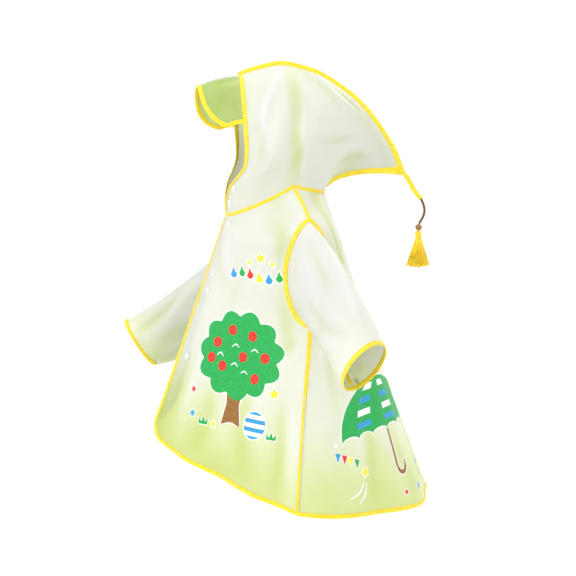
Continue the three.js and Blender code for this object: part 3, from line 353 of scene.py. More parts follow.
# Large folds: place on the panel, half span, depth at the hem, and the share where they start
FRONT_FOLDS = ((0.30, 0.07, 5, 0.30), (0.52, 0.08, -7, 0.36), (0.74, 0.07, 6, 0.50),
               (0.90, 0.05, -4, 0.55))
BACK_FOLDS = ((0.12, 0.10, 7, 0.20), (0.36, 0.09, -8, 0.30), (0.60, 0.09, 8, 0.40),
              (0.82, 0.07, -6, 0.50))
WRAP_ROUND = 0.03
WRAP_START = 0.16
WRAP_RUN = (0.02, 0.12)
LAYER_STEP = 3.6  # the right front lies this far inside the left one where they lap
UNDERLAP = 0.11
LEFT_CORNER = (0.11, 0.075)  # rounded hem corners, as shares around and down
RIGHT_CORNER = (0.28, 0.22)
SHOULDER_DROP = 0.17
UNDERARM_DROP = 0.45
ARMHOLE_FRONT = 0.16
ARMHOLE_BACK = 0.21
ARMHOLE_MIDDLE = (SHOULDER_DROP + UNDERARM_DROP) / 2
ARMHOLE_HALF = (UNDERARM_DROP - SHOULDER_DROP) / 2
PANEL_ROWS = 150
FRONT_COLUMNS = 84
BACK_COLUMNS = 176
CORNER_PART = 0.16  # share of a front's rows and columns that its rounded corner takes

# Creases: start and end as shares down and across, bend, half width and depth in mm, and how
# much of the depth stands as a ridge beside the trough
FRONT_CREASES = (
    (0.05, 0.66, 0.42, 0.80, 14, 17, 2.6, 0.5),
    (0.36, 0.82, 0.60, 0.92, -8, 12, 2.0, 0.4),
    (0.10, 0.10, 0.34, 0.32, -10, 16, 2.2, 0.5),
    (0.20, 0.42, 0.46, 0.36, 9, 20, 1.8, 0.3),
    (0.50, 0.20, 0.93, 0.14, -12, 13, 2.8, 0.6),
    (0.62, 0.36, 0.97, 0.33, 8, 16, 2.4, 0.4),
    (0.58, 0.62, 0.95, 0.66, -10, 18, 3.0, 0.5),
    (0.66, 0.84, 0.98, 0.86, 6, 11, 2.6, 0.5),
    (0.47, 0.97, 0.56, 0.74, 5, 10, 1.8, 0.5),
)
BACK_CREASES = (
    (0.06, 0.62, 0.36, 0.46, 12, 18, 3.0, 0.5),
    (0.18, 0.34, 0.62, 0.30, -14, 20, 2.4, 0.4),
    (0.42, 0.86, 0.70, 0.80, 9, 12, 2.2, 0.5),
    (0.55, 0.60, 0.97, 0.66, -9, 17, 3.0, 0.5),
    (0.62, 0.44, 0.98, 0.40, 7, 14, 2.2, 0.4),
    (0.52, 0.14, 0.96, 0.10, 10, 18, 2.6, 0.5),
    (0.10, -0.50, 0.42, -0.38, -10, 18, 2.8, 0.5),
    (0.50, -0.26, 0.94, -0.32, 12, 17, 2.6, 0.4),
    (0.48, -0.84, 0.76, -0.70, -8, 12, 2.2, 0.5),
    (0.60, -0.62, 0.97, -0.58, 8, 15, 2.8, 0.5),
)


def smooth_step(value):
    s = np.clip(value, 0, 1)
    return s * s * (3 - 2 * s)


class Sheet:
    """A panel: its surface for two shares, its outer side, its size and its creases."""

    def __init__(self, at, low, high, facing, size, creases=(), reach=None):
        self.at = at
        self.low = low
        self.high = high
        self.facing = facing
        self.size = size
        self.creases = creases
        self.reach = reach  # farthest share over the panel, for each share along it

    def normal(self, a, b):
        step = 0.004
        a, b = np.broadcast_arrays(np.asarray(a, float), np.asarray(b, float))
        a0, a1 = (np.clip(a + d, self.low[0], self.high[0]) for d in (-step, step))
        b0, b1 = (np.clip(b + d, self.low[1], self.high[1]) for d in (-step, step))
        along = self.at(a1, b) - self.at(a0, b)
        over = self.at(a, b1) - self.at(a, b0)
        return unit(np.cross(along, over)) * self.facing

    def relief(self, a, b):
        """Height of the creases, fading to nothing at the panel's edges."""
        total = np.zeros(np.broadcast(a, b).shape)
        for a0, b0, a1, b1, bend, width, depth, ridge in self.creases:
            run = np.array(((a1 - a0) * self.size[0], (b1 - b0) * self.size[1]))
            length = np.hypot(*run)
            ua, ub = (a - a0) * self.size[0], (b - b0) * self.size[1]
            t = (ua * run[0] + ub * run[1]) / length**2
            off = (ub * run[0] - ua * run[1]) / length - bend * 4 * t * (1 - t)
            fade = smooth_step((t + 0.12) / 0.5) * smooth_step((1.12 - t) / 0.55)
            trough = np.exp(-((off / width) ** 2))
            beside = np.exp(-(((off - 1.9 * width) / (1.2 * width)) ** 2))
            total = total + depth * fade * (ridge * beside - trough)
        margins = [
            (a - self.low[0]) * self.size[0], (self.high[0] - a) * self.size[0],
            (b - self.low[1]) * self.size[1], (self.high[1] - b) * self.size[1],
        ]
        if self.reach:
            margins.append((self.reach(a) - np.abs(b)) * self.size[1])
        return total * smooth_step((np.minimum.reduce(np.broadcast_arrays(*margins)) - 6) / 24)

    def point(self, a, b, lift=0.0):
        height = self.relief(a, b) + lift
        return self.at(a, b) + self.normal(a, b) * np.asarray(height)[..., None]


def fold_depth(folds, place, along):
    total = 0
    for middle, half_span, depth, start in folds:
        grown = smooth_step((along - start) / (1 - start))
        total = total + depth * np.exp(-(((place - middle) / half_span) ** 2)) * grown
    return total


def swollen(x, y, z, middle_y, swell):
    out = unit(np.stack([x, y - middle_y, np.zeros_like(x)], -1))
    return np.stack([x, y, z], -1) + out * np.asarray(swell)[..., None]


def front_point(drop, around, roundness=0.0):
    drop, around = np.broadcast_arrays(np.asarray(drop, float), np.asarray(around, float))
    s = table_at(BODY_COLUMNS, BODY_ROWS, drop)
    even = np.hypot(around, roundness)
    quarter = math.pi / 2
    rounded = s["front_round"]
    x = s["half_width"] * ((1 - rounded) * around + rounded * np.sin(quarter * around))
    reach = (1 - rounded) * (1 - even) + rounded * np.cos(quarter * even)
    y = s["side_y"] + (s["front_y"] - s["side_y"]) * reach
    z = s["front_z"] + (s["side_z"] - s["front_z"]) * even ** s["front_fall"]
    return swollen(x, y, z, s["side_y"], fold_depth(FRONT_FOLDS, even, drop))


def right_front_point(drop, around):
    """The mirrored front, sunk under the left one beside the middle."""
    p = front_point(drop, around, WRAP_ROUND) * (-1, 1, 1)
    run = front_point(drop, WRAP_RUN[1]) - front_point(drop, WRAP_RUN[0])
    slope = run[..., 1] / run[..., 0]
    lean_in = around / np.hypot(around, WRAP_ROUND)
    outward = unit(np.stack([-lean_in * slope, -np.ones_like(slope * lean_in),
                             np.zeros_like(slope * lean_in)], -1))
    return p - outward * (LAYER_STEP * (1 - smooth_step(around / WRAP_START)))[..., None]


def back_point(drop, around):
    drop, around = np.broadcast_arrays(np.asarray(drop, float), np.asarray(around, float))
    s = table_at(BODY_COLUMNS, BODY_ROWS, drop)
    quarter = math.pi / 2
    x = s["half_width"] * np.sin(quarter * around)
    y = s["side_y"] + (s["back_y"] - s["side_y"]) * np.cos(quarter * around)
    z = s["back_z"] + (s["side_z"] - s["back_z"]) * np.abs(around) ** s["back_fall"]
    return swollen(x, y, z, s["side_y"], fold_depth(BACK_FOLDS, 1 - np.abs(around), drop))


def armhole_bite(drop, depth):
    room = 1 - ((drop - ARMHOLE_MIDDLE) / ARMHOLE_HALF) ** 2
    return depth * np.sqrt(np.clip(room, 0, None))


def spread(top, bottom, left, right):
    """A grid of places between four sides, given as lists of places."""
    v = np.linspace(0, 1, len(left))[:, None, None]
    w = np.linspace(0, 1, len(top))[None, :, None]
    return (
        (1 - v) * top[None] + v * bottom[None] + (1 - w) * left[:, None] + w * right[:, None]
        - (1 - v) * (1 - w) * top[0] - (1 - v) * w * top[-1]
        - v * (1 - w) * bottom[0] - v * w * bottom[-1]
    )


def shell_mesh(name, outer, inner, material, tone_and_shade, round_way=False):
    """A closed thin wall from two grids of points; round_way joins its first and last columns."""
    rows, columns = outer.shape[:2]
    if round_way:
        sections = np.concatenate([outer, inner[::-1]])
        faces = skin_faces(2 * rows, columns, loop=True)
        tones_and_shades = np.concatenate([tone_and_shade, tone_and_shade[::-1]])
    else:
        sections = np.concatenate([outer, inner[:, ::-1]], 1)
        strip = skin_faces(rows, 2 * columns, caps=False)
        ends = []
        for row, turned in ((0, False), (rows - 1, True)):
            base = row * 2 * columns
            for k in range(columns - 1):
                face = [base + k, base + 2 * columns - 1 - k, base + 2 * columns - 2 - k, base + k + 1]
                ends.append(face[::-1] if turned else face)
        faces = strip + ends
        tones_and_shades = np.concatenate([tone_and_shade, tone_and_shade[:, ::-1]], 1)
    return add_mesh(name, sections, faces, material, tone_and_shade=tones_and_shades)


def film_panel(name, sheet, grid, tone_and_shade, round_way=False):
    """The film of a panel on a grid of places; a tone function gives its own colour and painted shade,
    greener in folds.
    """
    a, b = grid[..., 0], grid[..., 1]
    outer = sheet.point(a, b)
    inner = outer - sheet.normal(a, b) * FILM
    # Painted shade and highlight: the film turns greener in the creases' troughs and paler on their
    # ridges.
    trough = np.clip(-sheet.relief(a, b) / CREASE_SHADE_DEPTH, -0.12, 0.22)
    return shell_mesh(name, outer, inner, film_finish, np.clip(tone_and_shade(a, b) + trough, 0, 1), round_way)


def front_grid(start, corner):
    """Places of a front: a straight edge, a rounded hem corner, and the armhole's bite."""
    rows, columns = PANEL_ROWS, FRONT_COLUMNS
    turn_rows, turn_columns = int(CORNER_PART * rows), int(CORNER_PART * columns)
    edge = start + EDGE_INSET
    down = np.linspace(EDGE_INSET, 1 - EDGE_INSET, rows)
    right = np.stack([down, 1 - armhole_bite(down, ARMHOLE_FRONT) - EDGE_INSET], -1)
    turn_a = np.linspace(0, math.pi / 4, turn_rows + 1)
    turn_b = np.linspace(math.pi / 4, math.pi / 2, turn_columns + 1)

    def corner_at(turn):
        return np.stack([1 - EDGE_INSET - corner[1] * (1 - np.sin(turn)),
                         edge + corner[0] * (1 - np.cos(turn))], -1)

    straight = np.linspace(EDGE_INSET, 1 - EDGE_INSET - corner[1], rows - turn_rows)
    left = np.concatenate([np.stack([straight, np.full_like(straight, edge)], -1),
                           corner_at(turn_a[1:])])
    flat = np.linspace(edge + corner[0], 1 - EDGE_INSET, columns - turn_columns)
    bottom = np.concatenate([corner_at(turn_b[:-1]),
                             np.stack([np.full_like(flat, 1 - EDGE_INSET), flat], -1)])
    across = np.linspace(edge, 1 - EDGE_INSET, columns)
    top = np.stack([np.full_like(across, EDGE_INSET), across], -1)
    return spread(top, bottom, left, right)


# Frosted EVA: a milky film whose matt face scatters light, with a pebbled grain about 0.8 mm
# wide that softens each highlight. Its colour carries painted shade, greener in folds and doubles.
film_finish, tree = new_material("frosted_eva_film")
place = add_node(tree, "ShaderNodeTexCoord").outputs["Object"]
tone_and_shade_of = add_node(tree, "ShaderNodeAttribute", attribute_name="tone_and_shade")
cloud = add_node(tree, "ShaderNodeTexNoise", {"Vector": place, "Scale": 9.0, "Detail": 2.0})
drift = add_node(tree, "ShaderNodeMath", {0: cloud.outputs["Fac"], 1: 0.34, 2: -0.17},
                 operation="MULTIPLY_ADD")
shaded_tone = add_node(tree, "ShaderNodeMath", {0: tone_and_shade_of.outputs["Fac"], 1: drift.outputs[0]},
                  operation="ADD")
film_colour = colour_ramp(tree, shaded_tone.outputs[0], (
    (0.0, "F8F9EE"), (0.3, "EDF1DA"), (0.6, "D9E4AC"), (1.0, "BFCE72")))
pebbles = add_node(tree, "ShaderNodeTexNoise", {"Vector": place, "Scale": 1250.0, "Detail": 2.0})
pebble_bump = add_node(tree, "ShaderNodeBump", {"Strength": 0.16, "Distance": 0.0002,
                                                "Height": pebbles.outputs["Fac"]})
shader = add_node(tree, "ShaderNodeBsdfPrincipled", {
    "Base Color": film_colour, "Roughness": 0.42, "IOR": 1.48, "Transmission Weight": 0.16,
    "Subsurface Weight": 0.7, "Subsurface Radius": (1.0, 1.0, 0.8), "Subsurface Scale": 0.004,
    "Coat Weight": 0.15, "Coat Roughness": 0.3, "Normal": pebble_bump.outputs["Normal"]})
add_node(tree, "ShaderNodeOutputMaterial", {"Surface": shader.outputs[0]})


def front_reach(drop):
    return 1 - armhole_bite(drop, ARMHOLE_FRONT)


def back_reach(drop):
    return 1 - armhole_bite(drop, ARMHOLE_BACK)


front_sheets = {
    "left": Sheet(front_point, (0, 0), (1, 1), 1, (640, 300), FRONT_CREASES, front_reach),
    "right": Sheet(right_front_point, (0, -UNDERLAP), (1, 1), -1, (640, 300), FRONT_CREASES,
                   front_reach),
}
back_sheet = Sheet(back_point, (0, -1), (1, 1), -1, (690, 400), BACK_CREASES, back_reach)


# The fronts' own film tone, with painted shade: greener toward the hem, in a band down the upper front
# near the side and along the front edge; a painted highlight makes it paler low by the side seam.
def front_tone_and_shade(drop, around):
    low = 0.66 * smooth_step((drop - 0.56) / 0.44)
    band = 0.22 * np.exp(-(((around - 0.80 - 0.1 * drop) / 0.10) ** 2)) * smooth_step((0.7 - drop) / 0.3)
    edge = 0.25 * np.exp(-(around / 0.10) ** 2) * smooth_step((drop - 0.2) / 0.5)
    painted_highlight = 0.22 * np.exp(-(((around - 0.96) / 0.05) ** 2)) * smooth_step((drop - 0.62) / 0.2)
    return 0.20 + low + band + edge - painted_highlight


# The back's own film tone, with painted shade: a green band beside each armhole, greener toward the hem,
# and a little paler toward the side seams.
def back_tone_and_shade(drop, around):
    side = np.abs(around)
    near = 0.30 * np.exp(-(((side - 0.66 + 0.30 * drop) / 0.14) ** 2)) * smooth_step((0.6 - drop) / 0.4)
    return 0.38 + near + 0.46 * smooth_step((drop - 0.66) / 0.34) - 0.08 * smooth_step(side / 0.9)


for hand, start_at, corner in (("left", 0, LEFT_CORNER), ("right", -UNDERLAP, RIGHT_CORNER)):
    panel = film_panel(f"film_front_{hand}", front_sheets[hand], front_grid(start_at, corner),
                       front_tone_and_shade)
    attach(panel, "root")
    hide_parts(f"front_{hand}")

down = np.linspace(EDGE_INSET, 1 - EDGE_INSET, PANEL_ROWS)
reach = 1 - armhole_bite(down, ARMHOLE_BACK) - EDGE_INSET
across = np.linspace(-1, 1, BACK_COLUMNS)
back_grid = np.stack([np.broadcast_to(down[:, None], (PANEL_ROWS, BACK_COLUMNS)),
                      reach[:, None] * across[None]], -1)
back = film_panel("film_back", back_sheet, back_grid, back_tone_and_shade)
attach(back, "root")
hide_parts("back")

# Sleeves
# Each sleeve is one sheet of the same film, rolled into a wide tube, closed by a taped seam
# below and set into the armhole. Nothing fills them, so they keep soft bends at the elbow.
SLEEVES = {
    "left": {"side": 1, "cuff": (450, 90, -245), "leave": (0.70, 0.53, -0.47), "half_top": 53,
             "half_front": 53, "bow": (14, -6, 22), "ease": 0.05, "flat": (0.47, 0.35),
             "area": 0.114},
    "right": {"side": -1, "cuff": (-250, -268, -345), "leave": (-0.13, -0.83, -0.54),
              "half_top": 60, "half_front": 45, "bow": (-62, 2, -46), "ease": 0.12,
              "flat": (0.47, 0.46), "area": 0.143},
}
ARMHOLE_CENTRE = np.array((196, 34, -112.0))
SLEEVE_ROWS = 110
SLEEVE_COLUMNS = 132
SLEEVE_CREASES = {
    "left": (
        (0.10, 0.57, 0.62, 0.60, 10, 15, 3.0, 0.5),
        (0.36, 0.44, 0.90, 0.50, -8, 13, 2.4, 0.5),
        (0.30, 0.74, 0.80, 0.70, 12, 14, 3.2, 0.5),
        (0.55, 0.86, 0.95, 0.62, -10, 10, 2.4, 0.6),
        (0.15, 0.30, 0.60, 0.22, 8, 14, 2.8, 0.4),
        (0.45, 0.14, 0.90, 0.24, -9, 12, 2.4, 0.5),
    ),
    "right": (
        (0.12, 0.62, 0.60, 0.70, 12, 14, 3.0, 0.5),
        (0.42, 0.84, 0.88, 0.80, -12, 15, 3.2, 0.5),
        (0.55, 0.60, 0.97, 0.66, 9, 12, 2.6, 0.5),
        (0.20, 0.30, 0.66, 0.24, -9, 15, 2.8, 0.4),
        (0.50, 0.12, 0.92, 0.30, 10, 13, 2.4, 0.5),
        (0.30, 0.46, 0.70, 0.44, 8, 13, 2.2, 0.4),
    ),
}


def armhole_point(side, share):
    """Once round an armhole: 0 is the underarm, then the back, the shoulder and the front."""
    share = np.asarray(share, float)
    turn = math.pi * (1 - 2 * share)
    drop = ARMHOLE_MIDDLE - ARMHOLE_HALF * np.cos(turn)
    bite = np.abs(np.sin(turn))
    behind = back_point(drop, 1 - ARMHOLE_BACK * bite)
    before = front_point(drop, 1 - ARMHOLE_FRONT * bite)
    return np.where((share < 0.5)[..., None], behind, before) * (side, 1, 1)


def sleeve_at(hand):
    form = SLEEVES[hand]
    leave = unit(np.array(form["leave"], float))
    top = np.array((0, 0, 1.0))
    top = unit(top - leave * (top @ leave))
    front = np.cross(leave, top) * form["side"]
    middle = np.array(form["cuff"], float)
    root = ARMHOLE_CENTRE * (form["side"], 1, 1)

    def at(along, share):
        along, share = np.broadcast_arrays(np.asarray(along, float), np.asarray(share, float))
        turn = 2 * math.pi * (share - 0.5)
        t = along[..., None]
        cuff = (middle + top * (form["half_top"] * np.cos(turn))[..., None]
                + front * (form["half_front"] * np.sin(turn))[..., None])
        centre = root + (middle - root) * t
        p = armhole_point(form["side"], share) * (1 - t) + cuff * t - centre
        p = p * (1 + form["ease"] * np.sin(math.pi * t))
        return p + centre + np.array(form["bow"], float) * 4 * t * (1 - t)

    return at


sleeve_sheets = {}
for hand, form in SLEEVES.items():
    sheet = Sheet(sleeve_at(hand), (0, 0), (1, 1), -form["side"], (380, 400), SLEEVE_CREASES[hand])
    sleeve_sheets[hand] = sheet
    places = np.stack(np.meshgrid(np.linspace(0.001, 1 - EDGE_INSET, SLEEVE_ROWS),
                                  np.linspace(0, 1, SLEEVE_COLUMNS, endpoint=False),
                                  indexing="ij"), -1)
    # Painted shade on the sleeves' film tone: the far sleeve is greener than the near one, and both turn
    # greener underneath and toward the cuff.
    green = 0.12 if hand == "left" else 0.24

    def sleeve_tone_and_shade(along, share, green=green):
        under = 0.30 * smooth_step((np.abs(share - 0.5) - 0.22) / 0.25)
        return green + under + 0.16 * smooth_step((along - 0.7) / 0.3)

    piece = film_panel(f"film_sleeve_{hand}", sheet, places, sleeve_tone_and_shade, round_way=True)
    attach(piece, "root")
    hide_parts(f"sleeve_{hand}")

# Hood
# Two mirrored sides of film, joined over the crown and below the nape into a long drooping
# tip, and eased into the neck seam. The empty hood leans a little to the wearer's right.
CROWN_COLUMNS = ("share", "y", "z")
CROWN_ROWS = ((0.00, -75, 268), (0.10, -40, 280), (0.24, 13, 290), (0.34, 53, 283),
              (0.46, 95, 269), (0.58, 137, 244), (0.69, 175, 215), (0.79, 205, 184),
              (0.87, 233, 146), (0.95, 259, 104), (1.00, 277, 60))
NAPE_ROWS = ((0.00, 102, 22), (0.08, 112, 31), (0.18, 128, 42), (0.33, 152, 50),
             (0.50, 184, 55), (0.75, 226, 56), (1.00, 270, 52))
FACE_COLUMNS = ("share", "x", "y", "z")
FACE_ROWS = ((0.00, 2.2, -102, -22), (0.05, 6, -103, 8), (0.11, 22, -96, 40),
             (0.18, 42, -83, 62), (0.28, 59, -73, 84), (0.42, 67, -71, 116),
             (0.62, 66, -74, 164), (0.80, 55, -76, 212), (0.92, 31, -76, 250),
             (1.00, 2.2, -75, 260))
SEAM_X = 2.2
SEAM_DEPTH = 8.3
TIP_INSET = (13, 5)
FOREHEAD_BLEND = 0.15
NAPE_BLEND = 0.2
TIP_BLEND = 0.2
HOOD_FULLNESS = 10
HOOD_LEAN = 0.20
LEAN_START = 90
LEAN_SPAN = 120
HOOD_FOLDS = ((0.27, 0.045, 5, 0.10), (0.40, 0.060, -8, 0.05), (0.62, 0.060, -7, 0.10))
HOOD_ROWS = 104
HOOD_COLUMNS = 84
HOOD_CREASES = (
    (0.27, 0.96, 0.38, 0.28, 8, 11, 4.0, 0.6),
    (0.38, 0.46, 0.56, 0.02, -9, 10, 3.6, 0.6),
    (0.25, 0.95, 0.15, 0.42, -7, 9, -2.4, 0.3),
    (0.36, 0.93, 0.62, 0.70, 8, 12, 2.6, 0.5),
    (0.45, 0.92, 0.80, 0.90, -6, 9, 2.6, 0.5),
    (0.86, 0.22, 0.98, 0.68, 10, 13, 4.2, 0.5),
    (0.55, 0.30, 0.82, 0.62, -8, 14, 2.8, 0.4),
    (0.08, 0.62, 0.20, 0.16, 7, 10, 2.6, 0.5),
)


def neck_point(share):
    share = np.asarray(share, float)
    before = front_point(0, 2 * share)
    behind = back_point(0, 2 * (1 - share))
    return np.where((share < 0.5)[..., None], before, behind)


def plane_curve(rows, share):
    s = table_at(CROWN_COLUMNS, rows, share)
    return np.stack([np.zeros_like(s["y"]), s["y"], s["z"]], -1)


def beside(rows, share, distance):
    """Point beside a curve in the middle plane, on its left as it runs."""
    step = 0.01
    share = np.asarray(share, float)
    ahead = plane_curve(rows, np.minimum(share + step, 1))
    run = unit(ahead - plane_curve(rows, np.maximum(share - step, 0)))
    side = np.stack([np.zeros_like(share), -run[..., 2], run[..., 1]], -1)
    return plane_curve(rows, share) + side * distance


HOOD_TIP = plane_curve(CROWN_ROWS, 1.0) + (SEAM_X, -TIP_INSET[0], TIP_INSET[1])


def face_curve(share):
    s = table_at(FACE_COLUMNS, FACE_ROWS, share)
    return np.stack([s["x"], s["y"], s["z"]], -1)


def middle_seam(rows, share, distance, start_point, blend):
    share = np.asarray(share, float)
    to_x = np.array((SEAM_X, 0, 0))
    start = beside(rows, 0.0, distance) + to_x
    finish = beside(rows, 1.0, distance) + to_x
    p = beside(rows, share, distance) + to_x
    p = p + (start_point - start) * (1 - smooth_step(share / blend))[..., None]
    return p + (HOOD_TIP - finish) * smooth_step(1 - (1 - share) / TIP_BLEND)[..., None]


def crown_seam(share):
    return middle_seam(CROWN_ROWS, share, -SEAM_DEPTH, face_curve(1.0), FOREHEAD_BLEND)


def nape_seam(share):
    neck = neck_point(1.0) * (0, 1, 1) + (SEAM_X, 0, 0)
    return middle_seam(NAPE_ROWS, share, SEAM_DEPTH, neck, NAPE_BLEND)


def neck_edge(share):
    p = neck_point(share)
    widened = SEAM_X + p[..., :1] * (1 - SEAM_X / BODY_ROWS[0][1])
    return np.concatenate([widened, p[..., 1:]], -1)


def leaned(p):
    shift = HOOD_LEAN * p[..., 0] * smooth_step((p[..., 2] - LEAN_START) / LEAN_SPAN)
    return p + np.stack([0 * shift, 0 * shift, shift], -1)


def hood_at(side):
    def at(back, up):
        """back runs from the face edge to the nape seam, up from the neck to the crown."""
        back, up = np.broadcast_arrays(np.asarray(back, float), np.asarray(up, float))
        b, u = back[..., None], up[..., None]
        p = (neck_edge(back) * (1 - u) + crown_seam(back) * u
             + face_curve(up) * (1 - b) + nape_seam(up) * b
             - neck_edge(0.0) * (1 - b) * (1 - u) - neck_edge(1.0) * b * (1 - u)
             - face_curve(1.0) * (1 - b) * u - HOOD_TIP * b * u)
        swell = np.sin(math.pi * back) * np.sin(math.pi * up)
        folds = fold_depth(HOOD_FOLDS, back, 1 - up) * np.sin(math.pi * up)
        x = p[..., 0] + HOOD_FULLNESS * swell + folds
        return leaned(np.stack([x * side, p[..., 1], p[..., 2]], -1))

    return at


# The hood's own film tone, with painted shade: a green band down each side from the crown, greener by
# the crown and above the nape seam at the back, and toward the face edge.
def hood_tone_and_shade(back, up):
    fan_shade = 0.26 * np.exp(-(((back - 0.34 - 0.16 * (1 - up)) / 0.07) ** 2))
    crown = 0.20 * np.exp(-(((up - 0.86) / 0.10) ** 2)) * smooth_step((back - 0.4) / 0.2)
    nape = 0.22 * smooth_step((back - 0.8) / 0.2) * smooth_step((0.7 - up) / 0.4)
    return 0.20 + fan_shade + crown + nape + 0.14 * smooth_step((0.2 - back) / 0.2)


hood_sheets = {}
for hand, form in SLEEVES.items():
    side = form["side"]
    sheet = Sheet(hood_at(side), (0, 0), (1, 1), side, (310, 340), HOOD_CREASES)
    hood_sheets[hand] = sheet
    places = np.stack(np.meshgrid(np.linspace(EDGE_INSET, 1, HOOD_ROWS),
                                  np.linspace(EDGE_INSET, 1, HOOD_COLUMNS), indexing="ij"), -1)
    piece = film_panel(f"film_hood_{hand}", sheet, places, hood_tone_and_shade)
    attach(piece, "root")
    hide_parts(f"hood_{hand}")

# Visor
# A bow of clear green PVC film sewn to the hood's upper face edge, which keeps rain off the
# face and lets light through. It is glossier than the rest of the coat.
VISOR_ROOT_SHARE = 0.58
VISOR_REACH = 84
VISOR_DIP = 20
VISOR_OUTLINE = (2.4, 0.55)
VISOR_END = 0.93
FACE_CLEARANCE = 0.4
VISOR_COLUMNS = 96
VISOR_ROWS = 28


def visor_point(across, forward):
    across, forward = np.broadcast_arrays(np.asarray(across, float), np.asarray(forward, float))
    reach = np.abs(across)
    root = face_curve(1 - (1 - VISOR_ROOT_SHARE) * reach)
    extent = np.clip(1 - reach ** VISOR_OUTLINE[0], 0, None) ** VISOR_OUTLINE[1]
    x = (root[..., 0] - SEAM_X * (1 - reach)) * np.where(across < 0, -1, 1)
    y = root[..., 1] - FACE_CLEARANCE - VISOR_REACH * extent * forward
    z = root[..., 2] - VISOR_DIP * extent * forward**2
    return leaned(np.stack([x, y, z], -1))


# Clear PVC: green-tinted and glossy, with faint long ripples from the roll.
visor_finish, tree = new_material("clear_pvc_green")
place = add_node(tree, "ShaderNodeTexCoord").outputs["Object"]
ripple = add_node(tree, "ShaderNodeTexNoise", {"Vector": place, "Scale": 22.0, "Detail": 1.0})
visor_colour = colour_ramp(tree, ripple.outputs["Fac"], ((0.3, "CCE08C"), (0.7, "D8E8A0")))
ripple_bump = add_node(tree, "ShaderNodeBump", {"Strength": 0.35, "Distance": 0.002,
                                                "Height": ripple.outputs["Fac"]})
shader = add_node(tree, "ShaderNodeBsdfPrincipled", {
    "Base Color": visor_colour, "Roughness": 0.12, "IOR": 1.3, "Transmission Weight": 0.62,
    "Coat Weight": 0.4, "Coat Roughness": 0.05, "Normal": ripple_bump.outputs["Normal"]})
add_node(tree, "ShaderNodeOutputMaterial", {"Surface": shader.outputs[0]})

visor_sheet = Sheet(visor_point, (-VISOR_END, 0), (VISOR_END, 1), 1, (140, 84))
places = np.stack(np.meshgrid(np.linspace(-VISOR_END, VISOR_END, VISOR_COLUMNS),
                              np.linspace(0, 0.99, VISOR_ROWS), indexing="ij"), -1)
outer = visor_sheet.point(places[..., 0], places[..., 1])
inner = outer - visor_sheet.normal(places[..., 0], places[..., 1]) * FILM
visor = shell_mesh("film_visor", outer, inner, visor_finish, np.zeros(outer.shape[:2]))
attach(visor, "root")
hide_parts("visor")

# Binding tape
# Woven polyester tape, 16 mm wide and folded over each free edge, or laid flat over a seam
# and sewn through with one row of lockstitch near each edge. Its ribs run across.
TAPE_WIDTH = 8
TAPE_RISE = 0.85  # height of the tape over the film's outer face
TAPE_WRAP = 0.9  # how far the fold stands past the film's edge
TAPE_STEP = 2.2
SLOT = 0.05
# Section across a folded tape: from the film's edge inward, and out from its outer face
FOLD_SECTION = (
    (TAPE_WIDTH, SLOT), (TAPE_WIDTH, 0.62), (7.5, TAPE_RISE), (3.6, TAPE_RISE + 0.12),
    (0.3, TAPE_RISE), (-0.6, 0.3), (-TAPE_WRAP, -0.4), (-0.6, -1.1), (0.3, -1.65),
    (3.6, -1.77), (7.5, -1.65), (TAPE_WIDTH, -1.42), (TAPE_WIDTH, -0.85), (0.3, -0.85), (0.3, SLOT),
)
STITCH_PITCH = 4.0
STITCH_LENGTH = 2.7
STITCH_THICK = 0.5
STITCH_INSET = 1.5
CROSSING = 5  # clear run where a tape ends under another
ARMHOLE_CUT = 3  # the same at an armhole
CUFF_STEPS = 150

# Woven polyester: matt bright yellow, with painted shade golden in the grooves between its cross ribs.
tape_finish, tree = new_material("woven_polyester_tape")
along_tape = add_node(tree, "ShaderNodeUVMap", uv_map="UVMap").outputs["UV"]
ribs = add_node(tree, "ShaderNodeTexWave", {"Vector": along_tape, "Scale": 0.28,
                                            "Distortion": 0.6, "Detail": 1.0},
                bands_direction="X")
# Painted shade: broad soft patches of deeper gold along the tape.
painted_fold_shade = add_node(tree, "ShaderNodeTexNoise", {"Vector": along_tape, "Scale": 0.12, "Detail": 3.0})
rib_and_fold_shade = add_node(tree, "ShaderNodeMath", {0: ribs.outputs["Fac"], 1: 0.35, 2: painted_fold_shade.outputs["Fac"]},
                 operation="MULTIPLY_ADD")
tape_colour = colour_ramp(tree, rib_and_fold_shade.outputs[0], (
    (0.25, "DDAE10"), (0.5, "F4D318"), (0.85, "FCE428"), (1.0, "FFEE52")))
rib_bump = add_node(tree, "ShaderNodeBump", {"Strength": 0.5, "Distance": 0.0003,
                                             "Height": ribs.outputs["Fac"]})
shader = add_node(tree, "ShaderNodeBsdfPrincipled", {
    "Base Color": tape_colour, "Roughness": 0.55, "Sheen Weight": 0.2,
    "Normal": rib_bump.outputs["Normal"]})
add_node(tree, "ShaderNodeOutputMaterial", {"Surface": shader.outputs[0]})

# Lockstitch thread: yellow cotton, a shade deeper than the tape.
thread_finish, tree = new_material("cotton_sewing_thread")
place = add_node(tree, "ShaderNodeTexCoord").outputs["Object"]
lint = add_node(tree, "ShaderNodeTexNoise", {"Vector": place, "Scale": 700.0})
thread_colour = colour_ramp(tree, lint.outputs["Fac"], ((0.3, "D9A914"), (0.7, "F2CC30")))
shader = add_node(tree, "ShaderNodeBsdfPrincipled", {"Base Color": thread_colour, "Roughness": 0.6})
add_node(tree, "ShaderNodeOutputMaterial", {"Surface": shader.outputs[0]})


